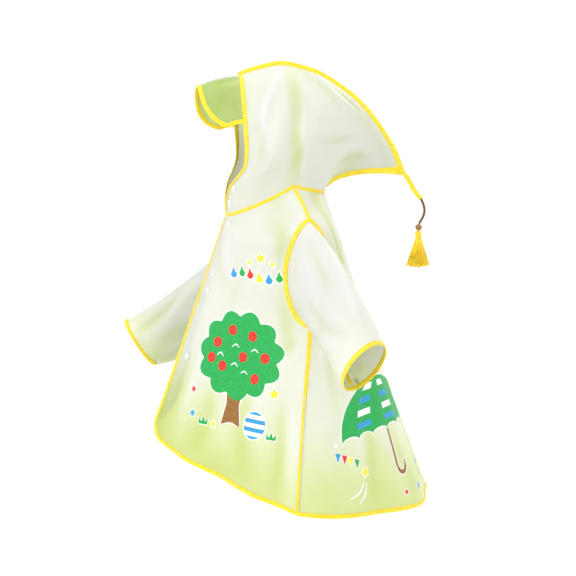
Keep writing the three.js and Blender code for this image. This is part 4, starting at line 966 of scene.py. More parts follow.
def stitch_tree():
    """Stitches laid along each line of a mesh at an even pitch, as realized meshes."""
    tree = bpy.data.node_groups.new("lockstitch", "GeometryNodeTree")
    sockets = {}
    tree.interface.new_socket("Lines", in_out="INPUT", socket_type="NodeSocketGeometry")
    for name in ("Pitch", "Length", "Thickness"):
        sockets[name] = tree.interface.new_socket(name, in_out="INPUT", socket_type="NodeSocketFloat")
    tree.interface.new_socket("Stitches", in_out="OUTPUT", socket_type="NodeSocketGeometry")
    given = tree.nodes.new("NodeGroupInput")
    curve = add_node(tree, "GeometryNodeMeshToCurve", {"Mesh": given.outputs["Lines"]})
    even = add_node(tree, "GeometryNodeResampleCurve", {
        "Curve": curve.outputs[0], "Length": given.outputs["Pitch"]}, mode="LENGTH")
    tangent = add_node(tree, "GeometryNodeInputTangent")
    turn = add_node(tree, "FunctionNodeAlignRotationToVector", {"Vector": tangent.outputs[0]}, axis="X")
    grain = add_node(tree, "GeometryNodeMeshIcoSphere", {"Radius": 0.5, "Subdivisions": 1})
    size = add_node(tree, "ShaderNodeCombineXYZ", {
        "X": given.outputs["Length"], "Y": given.outputs["Thickness"], "Z": given.outputs["Thickness"]})
    laid = add_node(tree, "GeometryNodeInstanceOnPoints", {
        "Points": even.outputs[0], "Instance": grain.outputs[0], "Rotation": turn.outputs[0],
        "Scale": size.outputs[0]})
    real = add_node(tree, "GeometryNodeRealizeInstances", {"Geometry": laid.outputs[0]})
    dressed = add_node(tree, "GeometryNodeSetMaterial", {
        "Geometry": real.outputs[0], "Material": thread_finish})
    result = tree.nodes.new("NodeGroupOutput")
    tree.links.new(dressed.outputs[0], result.inputs[0])
    return tree, {name: socket.identifier for name, socket in sockets.items()}


lockstitch, lockstitch_inputs = stitch_tree()
stitch_lines = []


def stations(sheet, places, toward, closed=False):
    """Points of a run of places, their outer side and the way across it into the sheet."""
    places = np.asarray(places, float)
    points = sheet.at(places[:, 0], places[:, 1])
    normal = sheet.normal(places[:, 0], places[:, 1])
    if closed:
        run = np.roll(points, -1, 0) - np.roll(points, 1, 0)
    else:
        run = np.gradient(points, axis=0)
    across = unit(np.cross(normal, run))
    middle = len(points) // 2
    if across[middle] @ (sheet.at(*toward) - points[middle]) < 0:
        across = -across
    return points, normal, across


def even_run(sheet, places):
    """The same run of places, spaced evenly along its length."""
    places = np.asarray(places, float)
    points = sheet.at(places[:, 0], places[:, 1])
    reach = np.concatenate([[0], np.cumsum(np.linalg.norm(np.diff(points, axis=0), axis=1))])
    even = np.linspace(0, reach[-1], max(int(reach[-1] / TAPE_STEP), 8))
    return np.stack([np.interp(even, reach, places[:, k]) for k in (0, 1)], -1)


def cut_ends(run, at_start, at_end):
    """A run of stations without its first and last few millimetres."""
    points = run[0]
    reach = np.concatenate([[0], np.cumsum(np.linalg.norm(np.diff(points, axis=0), axis=1))])
    kept = (reach >= at_start) & (reach <= reach[-1] - at_end)
    return tuple(part[kept] for part in run)


def tape_mesh(name, sections, closed=False, replaced=None):
    """A tape through its sections, with UVs in millimetres along and across it."""
    points = np.asarray(sections)
    middle = points.mean(1)
    along = np.concatenate([[0], np.cumsum(np.linalg.norm(np.diff(middle, axis=0), axis=1))])
    sides = np.linalg.norm(np.diff(points[0], axis=0), axis=1)
    across = np.concatenate([[0], np.cumsum(sides)])
    uvs = np.stack(np.broadcast_arrays(along[:, None], across[None]), -1)
    faces = skin_faces(len(points), points.shape[1], loop=closed)
    piece = add_mesh(name, points, faces, tape_finish, uvs=uvs, sharp=60)
    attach(piece, "root")
    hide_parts(replaced or name.replace("tape_", "binding_"))
    return piece


def stitch_line(points, closed=False):
    stitch_lines.append((points, closed))


def folded_tape(name, run, closed=False):
    """Tape folded over a free edge, with its row of stitches on both faces."""
    points, normal, across = run
    sections = np.stack([points + across * x + normal * up for x, up in FOLD_SECTION], 1)
    piece = tape_mesh(name, sections, closed)
    inset = TAPE_WIDTH - STITCH_INSET
    stitch_line(points + across * inset + normal * (TAPE_RISE + 0.05), closed)
    stitch_line(points + across * inset - normal * (TAPE_RISE + FILM + 0.05), closed)
    return piece


def seam_tape(name, side_a, side_b, half=TAPE_WIDTH / 2):
    """Tape laid over a seam and bent along it, half on each panel."""
    (points, normal_a, across_a), (_, normal_b, across_b) = side_a, side_b
    bend = np.maximum(1 + (normal_a * normal_b).sum(-1, keepdims=True), 0.6)
    ridge = (normal_a + normal_b) / bend
    under = FILM + TAPE_RISE

    def on(normal, across, x, up):
        return points + across * x + normal * up

    sections = np.stack([
        on(normal_a, across_a, half, 0.06), on(normal_a, across_a, half, 0.6),
        on(normal_a, across_a, half - 0.5, TAPE_RISE), on(normal_a, across_a, 1.3, TAPE_RISE + 0.1),
        points + ridge * (TAPE_RISE + 0.05),
        on(normal_b, across_b, 1.3, TAPE_RISE + 0.1), on(normal_b, across_b, half - 0.5, TAPE_RISE),
        on(normal_b, across_b, half, 0.6), on(normal_b, across_b, half, 0.06),
        on(normal_b, across_b, half, -under), points - ridge * under,
        on(normal_a, across_a, half, -under),
    ], 1)
    piece = tape_mesh(name, sections)
    for normal, across in ((normal_a, across_a), (normal_b, across_b)):
        stitch_line(points + across * (half - STITCH_INSET) + normal * (TAPE_RISE + 0.1))
    return piece


# Front edge and hem in one run on each front, then the back hem
FINE = 260
for hand, start_at, corner in (("left", 0, LEFT_CORNER), ("right", -UNDERLAP, RIGHT_CORNER)):
    turn = np.linspace(0, math.pi / 2, 50)
    rounded = np.stack([1 - corner[1] * (1 - np.sin(turn)),
                        start_at + corner[0] * (1 - np.cos(turn))], -1)
    straight = np.linspace(0, 1 - corner[1], FINE)
    hem = np.linspace(start_at + corner[0], 1, FINE)
    places = np.concatenate([np.stack([straight, np.full_like(straight, start_at)], -1),
                             rounded[1:-1], np.stack([np.ones_like(hem), hem], -1)])
    sheet = front_sheets[hand]
    run = stations(sheet, even_run(sheet, places), (0.7, 0.5))
    folded_tape(f"tape_front_{hand}", cut_ends(run, CROSSING, 0))
hem = np.stack([np.ones(FINE), np.linspace(-1, 1, FINE)], -1)
folded_tape("tape_back_hem", stations(back_sheet, even_run(back_sheet, hem), (0.5, 0)))

# Shoulder and side seams
for hand, form in SLEEVES.items():
    side = form["side"]
    for name, drops, at_start, at_end in (
        ("shoulder", (0, SHOULDER_DROP), CROSSING, ARMHOLE_CUT),
        ("side", (UNDERARM_DROP, 1), ARMHOLE_CUT, TAPE_WIDTH - 1),
    ):
        line = np.linspace(*drops, FINE)
        front_places = even_run(front_sheets[hand], np.stack([line, np.ones(FINE)], -1))
        back_places = np.stack([front_places[:, 0], np.full(len(front_places), side)], -1)
        aim = sum(drops) / 2
        run_a = stations(front_sheets[hand], front_places, (aim, 0.7))
        run_b = stations(back_sheet, back_places, (aim, 0.7 * side))
        seam_tape(f"tape_{name}_{hand}", cut_ends(run_a, at_start, at_end),
                  cut_ends(run_b, at_start, at_end))

# Armhole rings, which lie on the body round each sleeve's root
RING_COUNT = 216
RING_NEAR = 0.2  # from the armhole line to the ring
RING_FAR = 9.0
RING_SECTION = ((RING_NEAR, 0.06), (RING_NEAR, 0.7), (0.8, TAPE_RISE), (4.6, TAPE_RISE + 0.15),
                (RING_FAR - 0.5, TAPE_RISE), (RING_FAR, 0.6), (RING_FAR, -1.4), (RING_NEAR, -1.6))
for hand, form in SLEEVES.items():
    side = form["side"]
    share = np.arange(RING_COUNT) / RING_COUNT
    turn = math.pi * (1 - 2 * share)
    drop = ARMHOLE_MIDDLE - ARMHOLE_HALF * np.cos(turn)
    bite = np.abs(np.sin(turn))
    on_front = front_sheets[hand].normal(drop, 1 - ARMHOLE_FRONT * bite)
    on_back = back_sheet.normal(drop, side * (1 - ARMHOLE_BACK * bite))
    weight = smooth_step(0.5 + np.where(share < 0.5, 1, -1) * bite / 0.5)[:, None]
    normal = unit(on_back * weight + on_front * (1 - weight))
    points = armhole_point(side, share)
    run = np.roll(points, -1, 0) - np.roll(points, 1, 0)
    across = unit(np.cross(normal, run))
    if across[0, 2] > 0:
        across = -across
    sections = np.stack([points + across * x + normal * up for x, up in RING_SECTION], 1)
    tape_mesh(f"tape_armhole_{hand}", sections, closed=True)
    stitch_line(points + across * (RING_FAR - STITCH_INSET) + normal * (TAPE_RISE + 0.1), True)
    stitch_line(points + across * 1.6 + normal * (TAPE_RISE + 0.1), True)

# Sleeve seams below, and the cuffs
for hand, form in SLEEVES.items():
    sheet = sleeve_sheets[hand]
    line = np.linspace(0, 1, FINE)
    low = even_run(sheet, np.stack([line, np.zeros(FINE)], -1))
    high = np.stack([low[:, 0], np.ones(len(low))], -1)
    ends = (ARMHOLE_CUT, TAPE_WIDTH + 1)
    seam_tape(f"tape_sleeve_{hand}", cut_ends(stations(sheet, low, (0.5, 0.1)), *ends),
              cut_ends(stations(sheet, high, (0.5, 0.9)), *ends))
    share = np.arange(CUFF_STEPS) / CUFF_STEPS
    cuff = stations(sheet, np.stack([np.ones(CUFF_STEPS), share], -1), (0.5, 0.5), closed=True)
    folded_tape(f"tape_cuff_{hand}", cuff, closed=True)

# Face edges and the neck seam
neck_halves = {"body": [], "hood": []}
for hand, form in SLEEVES.items():
    side = form["side"]
    hood = hood_sheets[hand]
    line = np.linspace(0, 1, FINE)
    face = stations(hood, even_run(hood, np.stack([np.zeros(FINE), line], -1)), (0.5, 0.5))
    folded_tape(f"tape_face_{hand}", cut_ends(face, CROSSING, 0.5))
    half = np.linspace(0.006, 1, 90)
    before = stations(front_sheets[hand], np.stack([0 * half, half], -1), (0.3, 0.5))
    behind = stations(back_sheet, np.stack([0 * half, side * half[::-1]], -1), (0.3, 0.5 * side))
    body = [np.concatenate([b, c[1:]]) for b, c in zip(before, behind)]
    back = np.concatenate([half / 2, 1 - half[::-1][1:] / 2])
    above = stations(hood, np.stack([back, 0 * back], -1), (0.5, 0.3))
    neck_halves["body"].append(body)
    neck_halves["hood"].append([body[0], above[1], above[2]])


def joined_halves(halves):
    """The left run to the middle behind, then the right one back to the front."""
    left, right = halves
    return [np.concatenate([a, b[::-1]]) for a, b in zip(left, right)]


seam_tape("tape_neck", joined_halves(neck_halves["body"]), joined_halves(neck_halves["hood"]))

# Ridge over the hood's middle seams: both sides' edges are caught in one standing fold
RIDGE_STEPS = 200
RIDGE_HALF = 1.3
RIDGE_FOOT = 2.4  # how far its legs lie out on each side
FACE_DEPTH, TIP_DEPTH = 340, 177  # length of a hood side from neck to crown, at the face and at the tip
NECK_RUN, CROWN_RUN = 310, 440  # its length from face to back, along the neck and along the crown
crown_share = np.linspace(0, 1, RIDGE_STEPS)
nape_share = np.linspace(1, 0.06, RIDGE_STEPS // 2)
outline = np.concatenate([plane_curve(CROWN_ROWS, crown_share), plane_curve(NAPE_ROWS, nape_share)[1:]])
ridge_run = np.gradient(outline, axis=0)
inward = unit(np.cross(ridge_run, (1.0, 0, 0)))
crown_foot = RIDGE_FOOT / (FACE_DEPTH * (1 - crown_share) + TIP_DEPTH * crown_share)
nape_foot = RIDGE_FOOT / (NECK_RUN + (CROWN_RUN - NECK_RUN) * nape_share)


def ridge_sheet_points(side, lift, foot):
    sheet = hood_sheets["left" if side > 0 else "right"]
    return np.concatenate([
        sheet.point(crown_share, 1 - crown_foot * foot, lift),
        sheet.point(1 - nape_foot * foot, nape_share, lift)[1:],
    ])


def ridge_at(side, depth, x):
    return outline + inward * depth + np.array((side * x, 0, 0))


legs = []
for side in (1, -1):
    legs.append([ridge_at(side, 1.0, RIDGE_HALF * 0.8), ridge_at(side, 3.4, RIDGE_HALF),
                 ridge_sheet_points(side, 0.9, 0.0), ridge_sheet_points(side, 0.8, 0.9),
                 ridge_sheet_points(side, 0.1, 1.0), ridge_sheet_points(side, -1.3, 0.2)])
left_leg, right_leg = legs
sections = np.stack([ridge_at(1, -0.1, 0), *left_leg, *right_leg[::-1]], 1)
tape_mesh("tape_hood_seam", sections)
for leg in legs:
    stitch_line(leg[3] * 0.5 + leg[2] * 0.5)

# Visor rim
line = np.linspace(0, 1, 60)
rim = np.concatenate([np.stack([np.full(60, -VISOR_END), line], -1)[:-1],
                      np.stack([np.linspace(-VISOR_END, VISOR_END, FINE), np.ones(FINE)], -1),
                      np.stack([np.full(60, VISOR_END), line[::-1]], -1)[1:]])
folded_tape("tape_visor", stations(visor_sheet, even_run(visor_sheet, rim), (0, 0.3)))

# All rows of stitches, as one mesh
line_points, line_edges = [], []
for points, closed in stitch_lines:
    first = sum(len(p) for p in line_points)
    count = len(points)
    line_points.append(points)
    line_edges += [(first + k, first + k + 1) for k in range(count - 1)]
    if closed:
        line_edges.append((first + count - 1, first))
line_mesh = bpy.data.meshes.new("stitch_lines")
line_mesh.from_pydata((np.concatenate(line_points) * MM).tolist(), line_edges, [])
lines = bpy.data.objects.new("stitch_lines", line_mesh)
bpy.context.scene.collection.objects.link(lines)
modifier = lines.modifiers.new("lockstitch", "NODES")
modifier.node_group = lockstitch
for name, value in (("Pitch", STITCH_PITCH), ("Length", STITCH_LENGTH), ("Thickness", STITCH_THICK)):
    modifier[lockstitch_inputs[name]] = value * MM
bpy.context.view_layer.update()
shown = lines.evaluated_get(bpy.context.evaluated_depsgraph_get())
stitches = bpy.data.objects.new("lockstitches", bpy.data.meshes.new_from_object(shown))
bpy.context.scene.collection.objects.link(stitches)
bpy.data.objects.remove(lines)
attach(stitches, "root")

# Snap caps
# Moulded white acetal caps, 12 mm across, pressed through film and tape. Each has a rolled
# rim, a shallow groove and a low dome. The front ones are shown closed.
SNAP_SIDES = 40
SNAP_PROFILE = ((0, 0), (5.4, 0), (5.9, 0.35), (6.0, 0.9), (5.75, 1.4), (5.3, 1.6), (4.75, 1.45),
                (4.4, 1.3), (4.0, 1.42), (3.3, 1.85), (2.2, 2.2), (1.0, 2.36), (0, 2.4))
SNAP_LIFT = 0.1
SNAP_INSET = 23  # from the front edge
# Drops of the front snaps, and places of the others by panel
FRONT_SNAPS = (0.045, 0.27, 0.345, 0.63)
OTHER_SNAPS = {
    "snap_chin_1": (hood_sheets["left"], 0.085, 0.042),
    "snap_chin_2": (hood_sheets["left"], 0.085, 0.098),
    "snap_back_left": (back_sheet, 0.78, 0.84),
    "snap_back_right": (back_sheet, 0.78, -0.84),
    "snap_cuff_left_1": (sleeve_sheets["left"], 0.93, 0.045),
    "snap_cuff_left_2": (sleeve_sheets["left"], 0.93, 0.95),
    "snap_cuff_right_1": (sleeve_sheets["right"], 0.93, 0.9),
}

# Moulded acetal: white and waxy, with a soft gloss and a trace of mould texture.
snap_finish, tree = new_material("moulded_acetal_white")
place = add_node(tree, "ShaderNodeTexCoord").outputs["Object"]
mould = add_node(tree, "ShaderNodeTexNoise", {"Vector": place, "Scale": 1600.0})
snap_colour = colour_ramp(tree, mould.outputs["Fac"], ((0.3, "E4E6DE"), (0.7, "F1F2EC")))
mould_bump = add_node(tree, "ShaderNodeBump", {"Strength": 0.08, "Distance": 0.0002,
                                               "Height": mould.outputs["Fac"]})
shader = add_node(tree, "ShaderNodeBsdfPrincipled", {
    "Base Color": snap_colour, "Roughness": 0.28, "Coat Weight": 0.2,
    "Normal": mould_bump.outputs["Normal"]})
add_node(tree, "ShaderNodeOutputMaterial", {"Surface": shader.outputs[0]})


def snap_cap(name, sheet, a, b):
    """A cap standing on the film, turned to the way that the film faces there."""
    normal = sheet.normal(a, b)
    flat = unit(np.cross(normal, (0.0, 1.0, 0.0)))
    third = np.cross(normal, flat)
    turned = lathe(SNAP_PROFILE, SNAP_SIDES) @ np.stack([flat, third, normal])
    piece = add_mesh(name.replace("snap", "cap"), turned + sheet.point(a, b, SNAP_LIFT),
                     skin_faces(len(SNAP_PROFILE), SNAP_SIDES, caps=False), snap_finish, sharp=70)
    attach(piece, "root")
    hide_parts(name)


for index, drop in enumerate(FRONT_SNAPS):
    half_width = table_at(BODY_COLUMNS, BODY_ROWS, drop)["half_width"]
    snap_cap(f"snap_front_{index + 1}", front_sheets["left"], drop, SNAP_INSET / half_width)
for name, (sheet, a, b) in OTHER_SNAPS.items():
    snap_cap(name, sheet, a, b)

# Tail
# The ridge's tape runs on past the hood's tip for 65 mm, folded in two and sewn shut, and
# swallows the end of the tassel cord.
TAIL_POINTS = ((0, 273, 56.5), (0, 280.5, 48.5), (0, 289, 35), (0, 299, 18), (0, 312.4, 1.4))
TAIL_STEPS = 34
TAIL_SECTION = ((-1.3, -4.6), (1.3, -4.6), (1.75, -3.6), (1.75, 3.4), (1.5, 4.8), (0.35, 4.9),
                (0.1, 4.2), (-0.1, 4.2), (-0.35, 4.9), (-1.5, 4.8), (-1.75, 3.4), (-1.75, -3.6))
tail_path = path_through(TAIL_POINTS, TAIL_STEPS)
tail_run = unit(np.gradient(tail_path, axis=0))
tail_way = np.cross(tail_run, (1.0, 0, 0))
tail_sections = np.stack([tail_path + tail_way * width + np.array((x, 0, 0))
                          for x, width in TAIL_SECTION], 1)
tape_mesh("tape_tail", tail_sections, replaced="hood_tail")

# Prints
# Screen-printed artwork in opaque ink on the fronts and the back: a leafy tree with apples,
# a striped ball, an umbrella, raindrops, pennants and stars, on a thin white ground.
INK = 0.12
# Height of each layer of ink over the film, from the white ground up
GROUND_LIFT = 0.3
INK_LIFT = 0.48
DETAIL_LIFT = 0.66
TOP_LIFT = 0.84
HALO = 2.2  # width of the white ground that shows round each motif
PRINT_STEP = 5.0  # spacing of the points that let the ink follow the film
PRINT_MARGIN = 0.004  # share of a panel that stays free at its edges
SEARCH_ROUNDS = 8
LONGEST_SEARCH = 0.2
STAR_WAIST = 0.5
STROKE_STEPS = 24
INK_COLOURS = {"green": ("0F9E45", "1BB154"), "red": ("DC2314", "EB3A22"),
               "blue": ("1F8CC9", "35A6DE"), "yellow": ("F2DE12", "FAEE3C"),
               "white": ("F7F8F3", "FFFFFF"), "brown": ("8A5A22", "A06D30")}


# Plastisol ink: opaque and satin, with the faint mottle that the printing screen leaves.
def ink_finish(name, dark, light):
    material, tree = new_material(f"plastisol_ink_{name}")
    place = add_node(tree, "ShaderNodeTexCoord").outputs["Object"]
    mottle = add_node(tree, "ShaderNodeTexNoise", {"Vector": place, "Scale": 260.0, "Detail": 3.0})
    colour = colour_ramp(tree, mottle.outputs["Fac"], ((0.35, dark), (0.65, light)))
    bump = add_node(tree, "ShaderNodeBump", {"Strength": 0.12, "Distance": 0.0002,
                                             "Height": mottle.outputs["Fac"]})
    shader = add_node(tree, "ShaderNodeBsdfPrincipled", {
        "Base Color": colour, "Roughness": 0.48, "Normal": bump.outputs["Normal"]})
    add_node(tree, "ShaderNodeOutputMaterial", {"Surface": shader.outputs[0]})
    return material


inks = {name: ink_finish(name, *pair) for name, pair in INK_COLOURS.items()}


def disc(x, y, radius, points=36):
    angle = 2 * math.pi * np.arange(points) / points
    return np.stack([x + radius * np.cos(angle), y + radius * np.sin(angle)], -1)


def foliage(x, y, half_x, half_y, lobes, swell, points=160):
    """A round outline with even lobes."""
    angle = 2 * math.pi * np.arange(points) / points
    ripple = 1 + swell * np.abs(np.sin(lobes * angle / 2 + 0.4)) - swell / 2
    return np.stack([x + half_x * ripple * np.cos(angle), y + half_y * ripple * np.sin(angle)], -1)


def star(x, y, radius, turn=0.0):
    angle = turn + math.pi / 2 + math.pi * np.arange(10) / 5
    size = radius * np.where(np.arange(10) % 2, STAR_WAIST, 1)
    return np.stack([x + size * np.cos(angle), y + size * np.sin(angle)], -1)


def raindrop(x, y, radius, tilt=0.0):
    angle = 2 * math.pi * np.arange(28) / 28
    pointed = np.clip(np.cos(angle), 0, 1)
    across = radius * np.sin(angle) * (1 - 0.72 * pointed)
    up = radius * (np.cos(angle) + 0.75 * pointed**3)
    return np.stack([x + across * math.cos(tilt) - up * math.sin(tilt),
                     y + across * math.sin(tilt) + up * math.cos(tilt)], -1)


def polygon(*points):
    return np.array(points, float)


def band(points, width):
    """A brush stroke along a few points, narrowing to both ends."""
    path = path_through([(x, y, 0) for x, y in points], STROKE_STEPS)[:, :2]
    run = unit(np.gradient(path, axis=0))
    side = np.stack([-run[:, 1], run[:, 0]], -1)
    swell = 0.35 + 0.65 * np.sin(math.pi * np.linspace(0, 1, STROKE_STEPS))
    half = width / 2 * swell[:, None]
    return np.concatenate([path + side * half, (path - side * half)[::-1]])


def inside(points, outline):
    """Which points lie within an outline, by the crossings to their right."""
    x, y = points[:, None].transpose(2, 0, 1)
    x0, y0 = outline.T
    x1, y1 = np.roll(outline, -1, 0).T
    rise = np.where(y1 == y0, 1e-9, y1 - y0)
    crosses = ((y0 > y) != (y1 > y)) & (x < x0 + (x1 - x0) * (y - y0) / rise)
    return crosses.sum(1) % 2 == 1


def split_outline(outline):
    """Long sides of an outline split to the print's own step."""
    parts = []
    for start, end in zip(outline, np.roll(outline, -1, 0)):
        count = max(int(np.linalg.norm(end - start) / PRINT_STEP), 1)
        parts.append(start + (end - start) * (np.arange(count) / count)[:, None])
    return np.concatenate(parts)


def flat_shape(outline):
    """Triangles that fill an outline, small enough to lie on a bent film."""
    outline = split_outline(outline)
    low, high = outline.min(0), outline.max(0)
    xs = np.arange(low[0] + PRINT_STEP / 2, high[0], PRINT_STEP)
    ys = np.arange(low[1] + PRINT_STEP / 2, high[1], PRINT_STEP)
    grid = np.stack(np.meshgrid(xs, ys), -1).reshape(-1, 2)
    if len(grid):
        grid = grid[inside(grid, outline)]
    given = [Vector(p) for p in np.concatenate([outline, grid])]
    count = len(outline)
    edges = [(k, (k + 1) % count) for k in range(count)]
    found = delaunay_2d_cdt(given, edges, [list(range(count))], 1, 1e-4)
    return np.array([tuple(p) for p in found[0]]), [tuple(face) for face in found[2]]


def placed(sheet, base, flat):
    """Places of a sheet for points on the plane that touches it at a base place, Z upward."""
    origin = sheet.at(*base)
    normal = sheet.normal(*base)
    right = unit(np.cross((0.0, 0, 1.0), normal))
    frame_rows = np.stack([right, np.cross(normal, right)])
    a, b = np.full(len(flat), base[0]), np.full(len(flat), base[1])
    step = 0.002
    for _ in range(SEARCH_ROUNDS):
        here = sheet.at(a, b)
        rest = flat - (here - origin) @ frame_rows.T
        along = (sheet.at(a + step, b) - here) @ frame_rows.T / step
        over = (sheet.at(a, b + step) - here) @ frame_rows.T / step
        whole = along[:, 0] * over[:, 1] - along[:, 1] * over[:, 0]
        whole = np.where(np.abs(whole) < 1e-3, 1e-3, whole)
        move_a = (rest[:, 0] * over[:, 1] - rest[:, 1] * over[:, 0]) / whole
        move_b = (rest[:, 1] * along[:, 0] - rest[:, 0] * along[:, 1]) / whole
        a = a + np.clip(move_a, -LONGEST_SEARCH, LONGEST_SEARCH)
        b = b + np.clip(move_b, -LONGEST_SEARCH, LONGEST_SEARCH)
        a = np.clip(a, sheet.low[0] + PRINT_MARGIN, sheet.high[0] - PRINT_MARGIN)
        b = np.clip(b, sheet.low[1] + PRINT_MARGIN, sheet.high[1] - PRINT_MARGIN)
    return a, b


def print_motifs(name, sheet, base, motifs):
    """One closed sheet of ink for each colour and layer of a print."""
    layers = {}
    for colour, lift, outline in motifs:
        layers.setdefault((colour, lift), []).append(outline)
    for (colour, lift), outlines in layers.items():
        points, faces, first = [], [], 0
        for outline in outlines:
            flat, triangles = flat_shape(outline)
            a, b = placed(sheet, base, flat)
            top = sheet.point(a, b, lift)
            bottom = sheet.point(a, b, lift - INK)
            count = len(flat)
            sides = {(face[k], face[(k + 1) % 3]): face for face in triangles for k in range(3)}
            rim = [(s, e) for s, e in sides if (e, s) not in sides]
            faces += [tuple(first + v for v in face) for face in triangles]
            faces += [tuple(first + count + v for v in face[::-1]) for face in triangles]
            faces += [(first + e, first + s, first + count + s, first + count + e) for s, e in rim]
            points += [top, bottom]
            first += 2 * count
        level = round(lift * 100)
        piece = add_mesh(f"print_{name}_{colour}_{level}", np.concatenate(points), faces,
                         inks[colour], sharp=35)
        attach(piece, "root")


def ground(outline):
    """The same outline grown by the halo, for the white ground."""
    run = np.roll(outline, -1, 0) - np.roll(outline, 1, 0)
    turned = unit(np.stack([run[:, 1], -run[:, 0]], -1))
    x, y = outline.T
    area = (x * np.roll(y, -1) - np.roll(x, -1) * y).sum()
    return outline + turned * HALO * (1 if area > 0 else -1)


def with_ground(colour, outline):
    return [("white", GROUND_LIFT, ground(outline)), (colour, INK_LIFT, outline)]


# The tree: its trunk, the half sizes of its crown, its apples, and leaf strokes with their arch
TRUNK = ((-22, -92), (-15, -50), (-19, 0), (21, 0), (15, -50), (24, -92), (6, -86), (-4, -86))
CROWN_MIDDLE = 50
CROWN_HALF = (98, 84)
CROWN_LOBES = 11
LOBE_SWELL = 0.16
APPLE_RADIUS = 10.5
APPLES = ((-57.2, 70), (-22, 98.6), (28.6, 92), (63.8, 52.4), (-37.4, 23.8), (11, 48),
          (46.2, 8.4), (-68.2, 37))
LEAVES = ((-10, 68, 3.5), (38, 64, 2.6), (-46, 46, 3.9), (18, 18, 2.2), (-8, 30, 3.2))
LEAF_HALF = 9
LEAF_WIDTH = 2.6


def tree_motifs():
    crown = foliage(0, CROWN_MIDDLE, *CROWN_HALF, CROWN_LOBES, LOBE_SWELL)
    made = with_ground("brown", polygon(*TRUNK))
    made += [("white", GROUND_LIFT, ground(crown)), ("green", DETAIL_LIFT, crown)]
    for x, y in APPLES:
        made.append(("red", TOP_LIFT, disc(x, y, APPLE_RADIUS)))
    for x, y, arch in LEAVES:
        stroke = ((x - LEAF_HALF, y - 3), (x, y + arch), (x + LEAF_HALF, y - 3))
        made.append(("white", TOP_LIFT, band(stroke, LEAF_WIDTH)))
    return made


# The ball: five stripes over its height, of which three are white
BALL_RADIUS = 27
BALL_STRIPE = BALL_RADIUS / 3.2


def ball_motifs(x, y):
    made = with_ground("blue", disc(x, y, BALL_RADIUS, points=56))
    for k in (-2, 0, 2):
        low, high = (k - 0.5) * BALL_STRIPE, (k + 0.5) * BALL_STRIPE
        angles = np.linspace(math.asin(low / BALL_RADIUS), math.asin(high / BALL_RADIUS), 5)
        right = [(x + 0.96 * BALL_RADIUS * math.cos(t), y + BALL_RADIUS * math.sin(t)) for t in angles]
        left = [(2 * x - px, py) for px, py in right[::-1]]
        made.append(("white", DETAIL_LIFT, polygon(*right, *left)))
    return made


# Five blades of grass, as shares of the tuft's half width
BLADES = ((-1, 0), (-1.1, 1.2), (-0.45, 0.5), (0, 1.7), (0.4, 0.5), (1.15, 1.3), (1, 0))


def tuft_motifs(x, y, size):
    return with_ground("green", polygon(*((x + u * size, y + v * size) for u, v in BLADES)))


# The umbrella: a half ellipse of six gores, cut in scallops below, two of them with patches
DOME_HALF = 136
DOME_HEIGHT = 110
GORES = 6
PATCHED_GORES = (1, 3)
SCALLOP = 9
PATCH_ROWS = np.linspace(0.16, 0.97, 16)
TIP = ((-5, DOME_HEIGHT + 1), (0, DOME_HEIGHT + 24), (5, DOME_HEIGHT + 1))
POLE = ((-3.5, -78), (-3.5, 0.5), (3.5, 0.5), (3.5, -78))
HOOK = ((0, -70), (4, -90), (18, -96), (30, -86), (31, -72))
HOOK_WIDTH = 9


def umbrella_motifs():
    ribs = np.linspace(-DOME_HALF, DOME_HALF, GORES + 1)
    outline = [(DOME_HALF * math.cos(t), DOME_HEIGHT * math.sin(t)) for t in np.linspace(0, math.pi, 60)]
    for left, right in zip(ribs[:-1], ribs[1:]):
        middle, half = (left + right) / 2, (right - left) / 2
        for t in np.linspace(math.pi, 0, 9)[1:-1]:
            outline.append((middle + half * math.cos(t), SCALLOP * math.sin(t)))
        outline.append((right, 0))
    made = with_ground("green", polygon(*outline[:-1]))
    for k in PATCHED_GORES:
        for part in range(0, 16, 4):
            span = PATCH_ROWS[part : part + 3]
            edge_a, edge_b = (
                [(rib * math.sqrt(1 - h * h), DOME_HEIGHT * h) for h in span] for rib in ribs[k : k + 2]
            )
            colour = "white" if part % 8 else "blue"
            made.append((colour, DETAIL_LIFT, polygon(*edge_a, *edge_b[::-1])))
    made += with_ground("red", polygon(*TIP))
    made += with_ground("brown", polygon(*POLE))
    return made + with_ground("brown", band(HOOK, HOOK_WIDTH))


def pennant_motifs(x, y):
    made = []
    for k, colour in enumerate(("blue", "red", "yellow", "green")):
        px, py = x + 15 * k, y - 7 * k
        made += with_ground(colour, polygon((px, py), (px + 13, py - 5), (px + 3, py - 20)))
    return made


def star_motifs(*stars):
    return sum((with_ground(colour, star(*form)) for colour, *form in stars), [])


def drop_motifs(*drops):
    return sum((with_ground(colour, raindrop(*form)) for colour, *form in drops), [])


# A row of raindrops along a wave, high on the left front
ROW_COLOURS = ("blue", "green", "red", "yellow", "blue", "green")
row = [(colour, -55 + 22 * k, 5 * math.sin(1.3 * k), 8, 0.15) for k, colour in enumerate(ROW_COLOURS)]

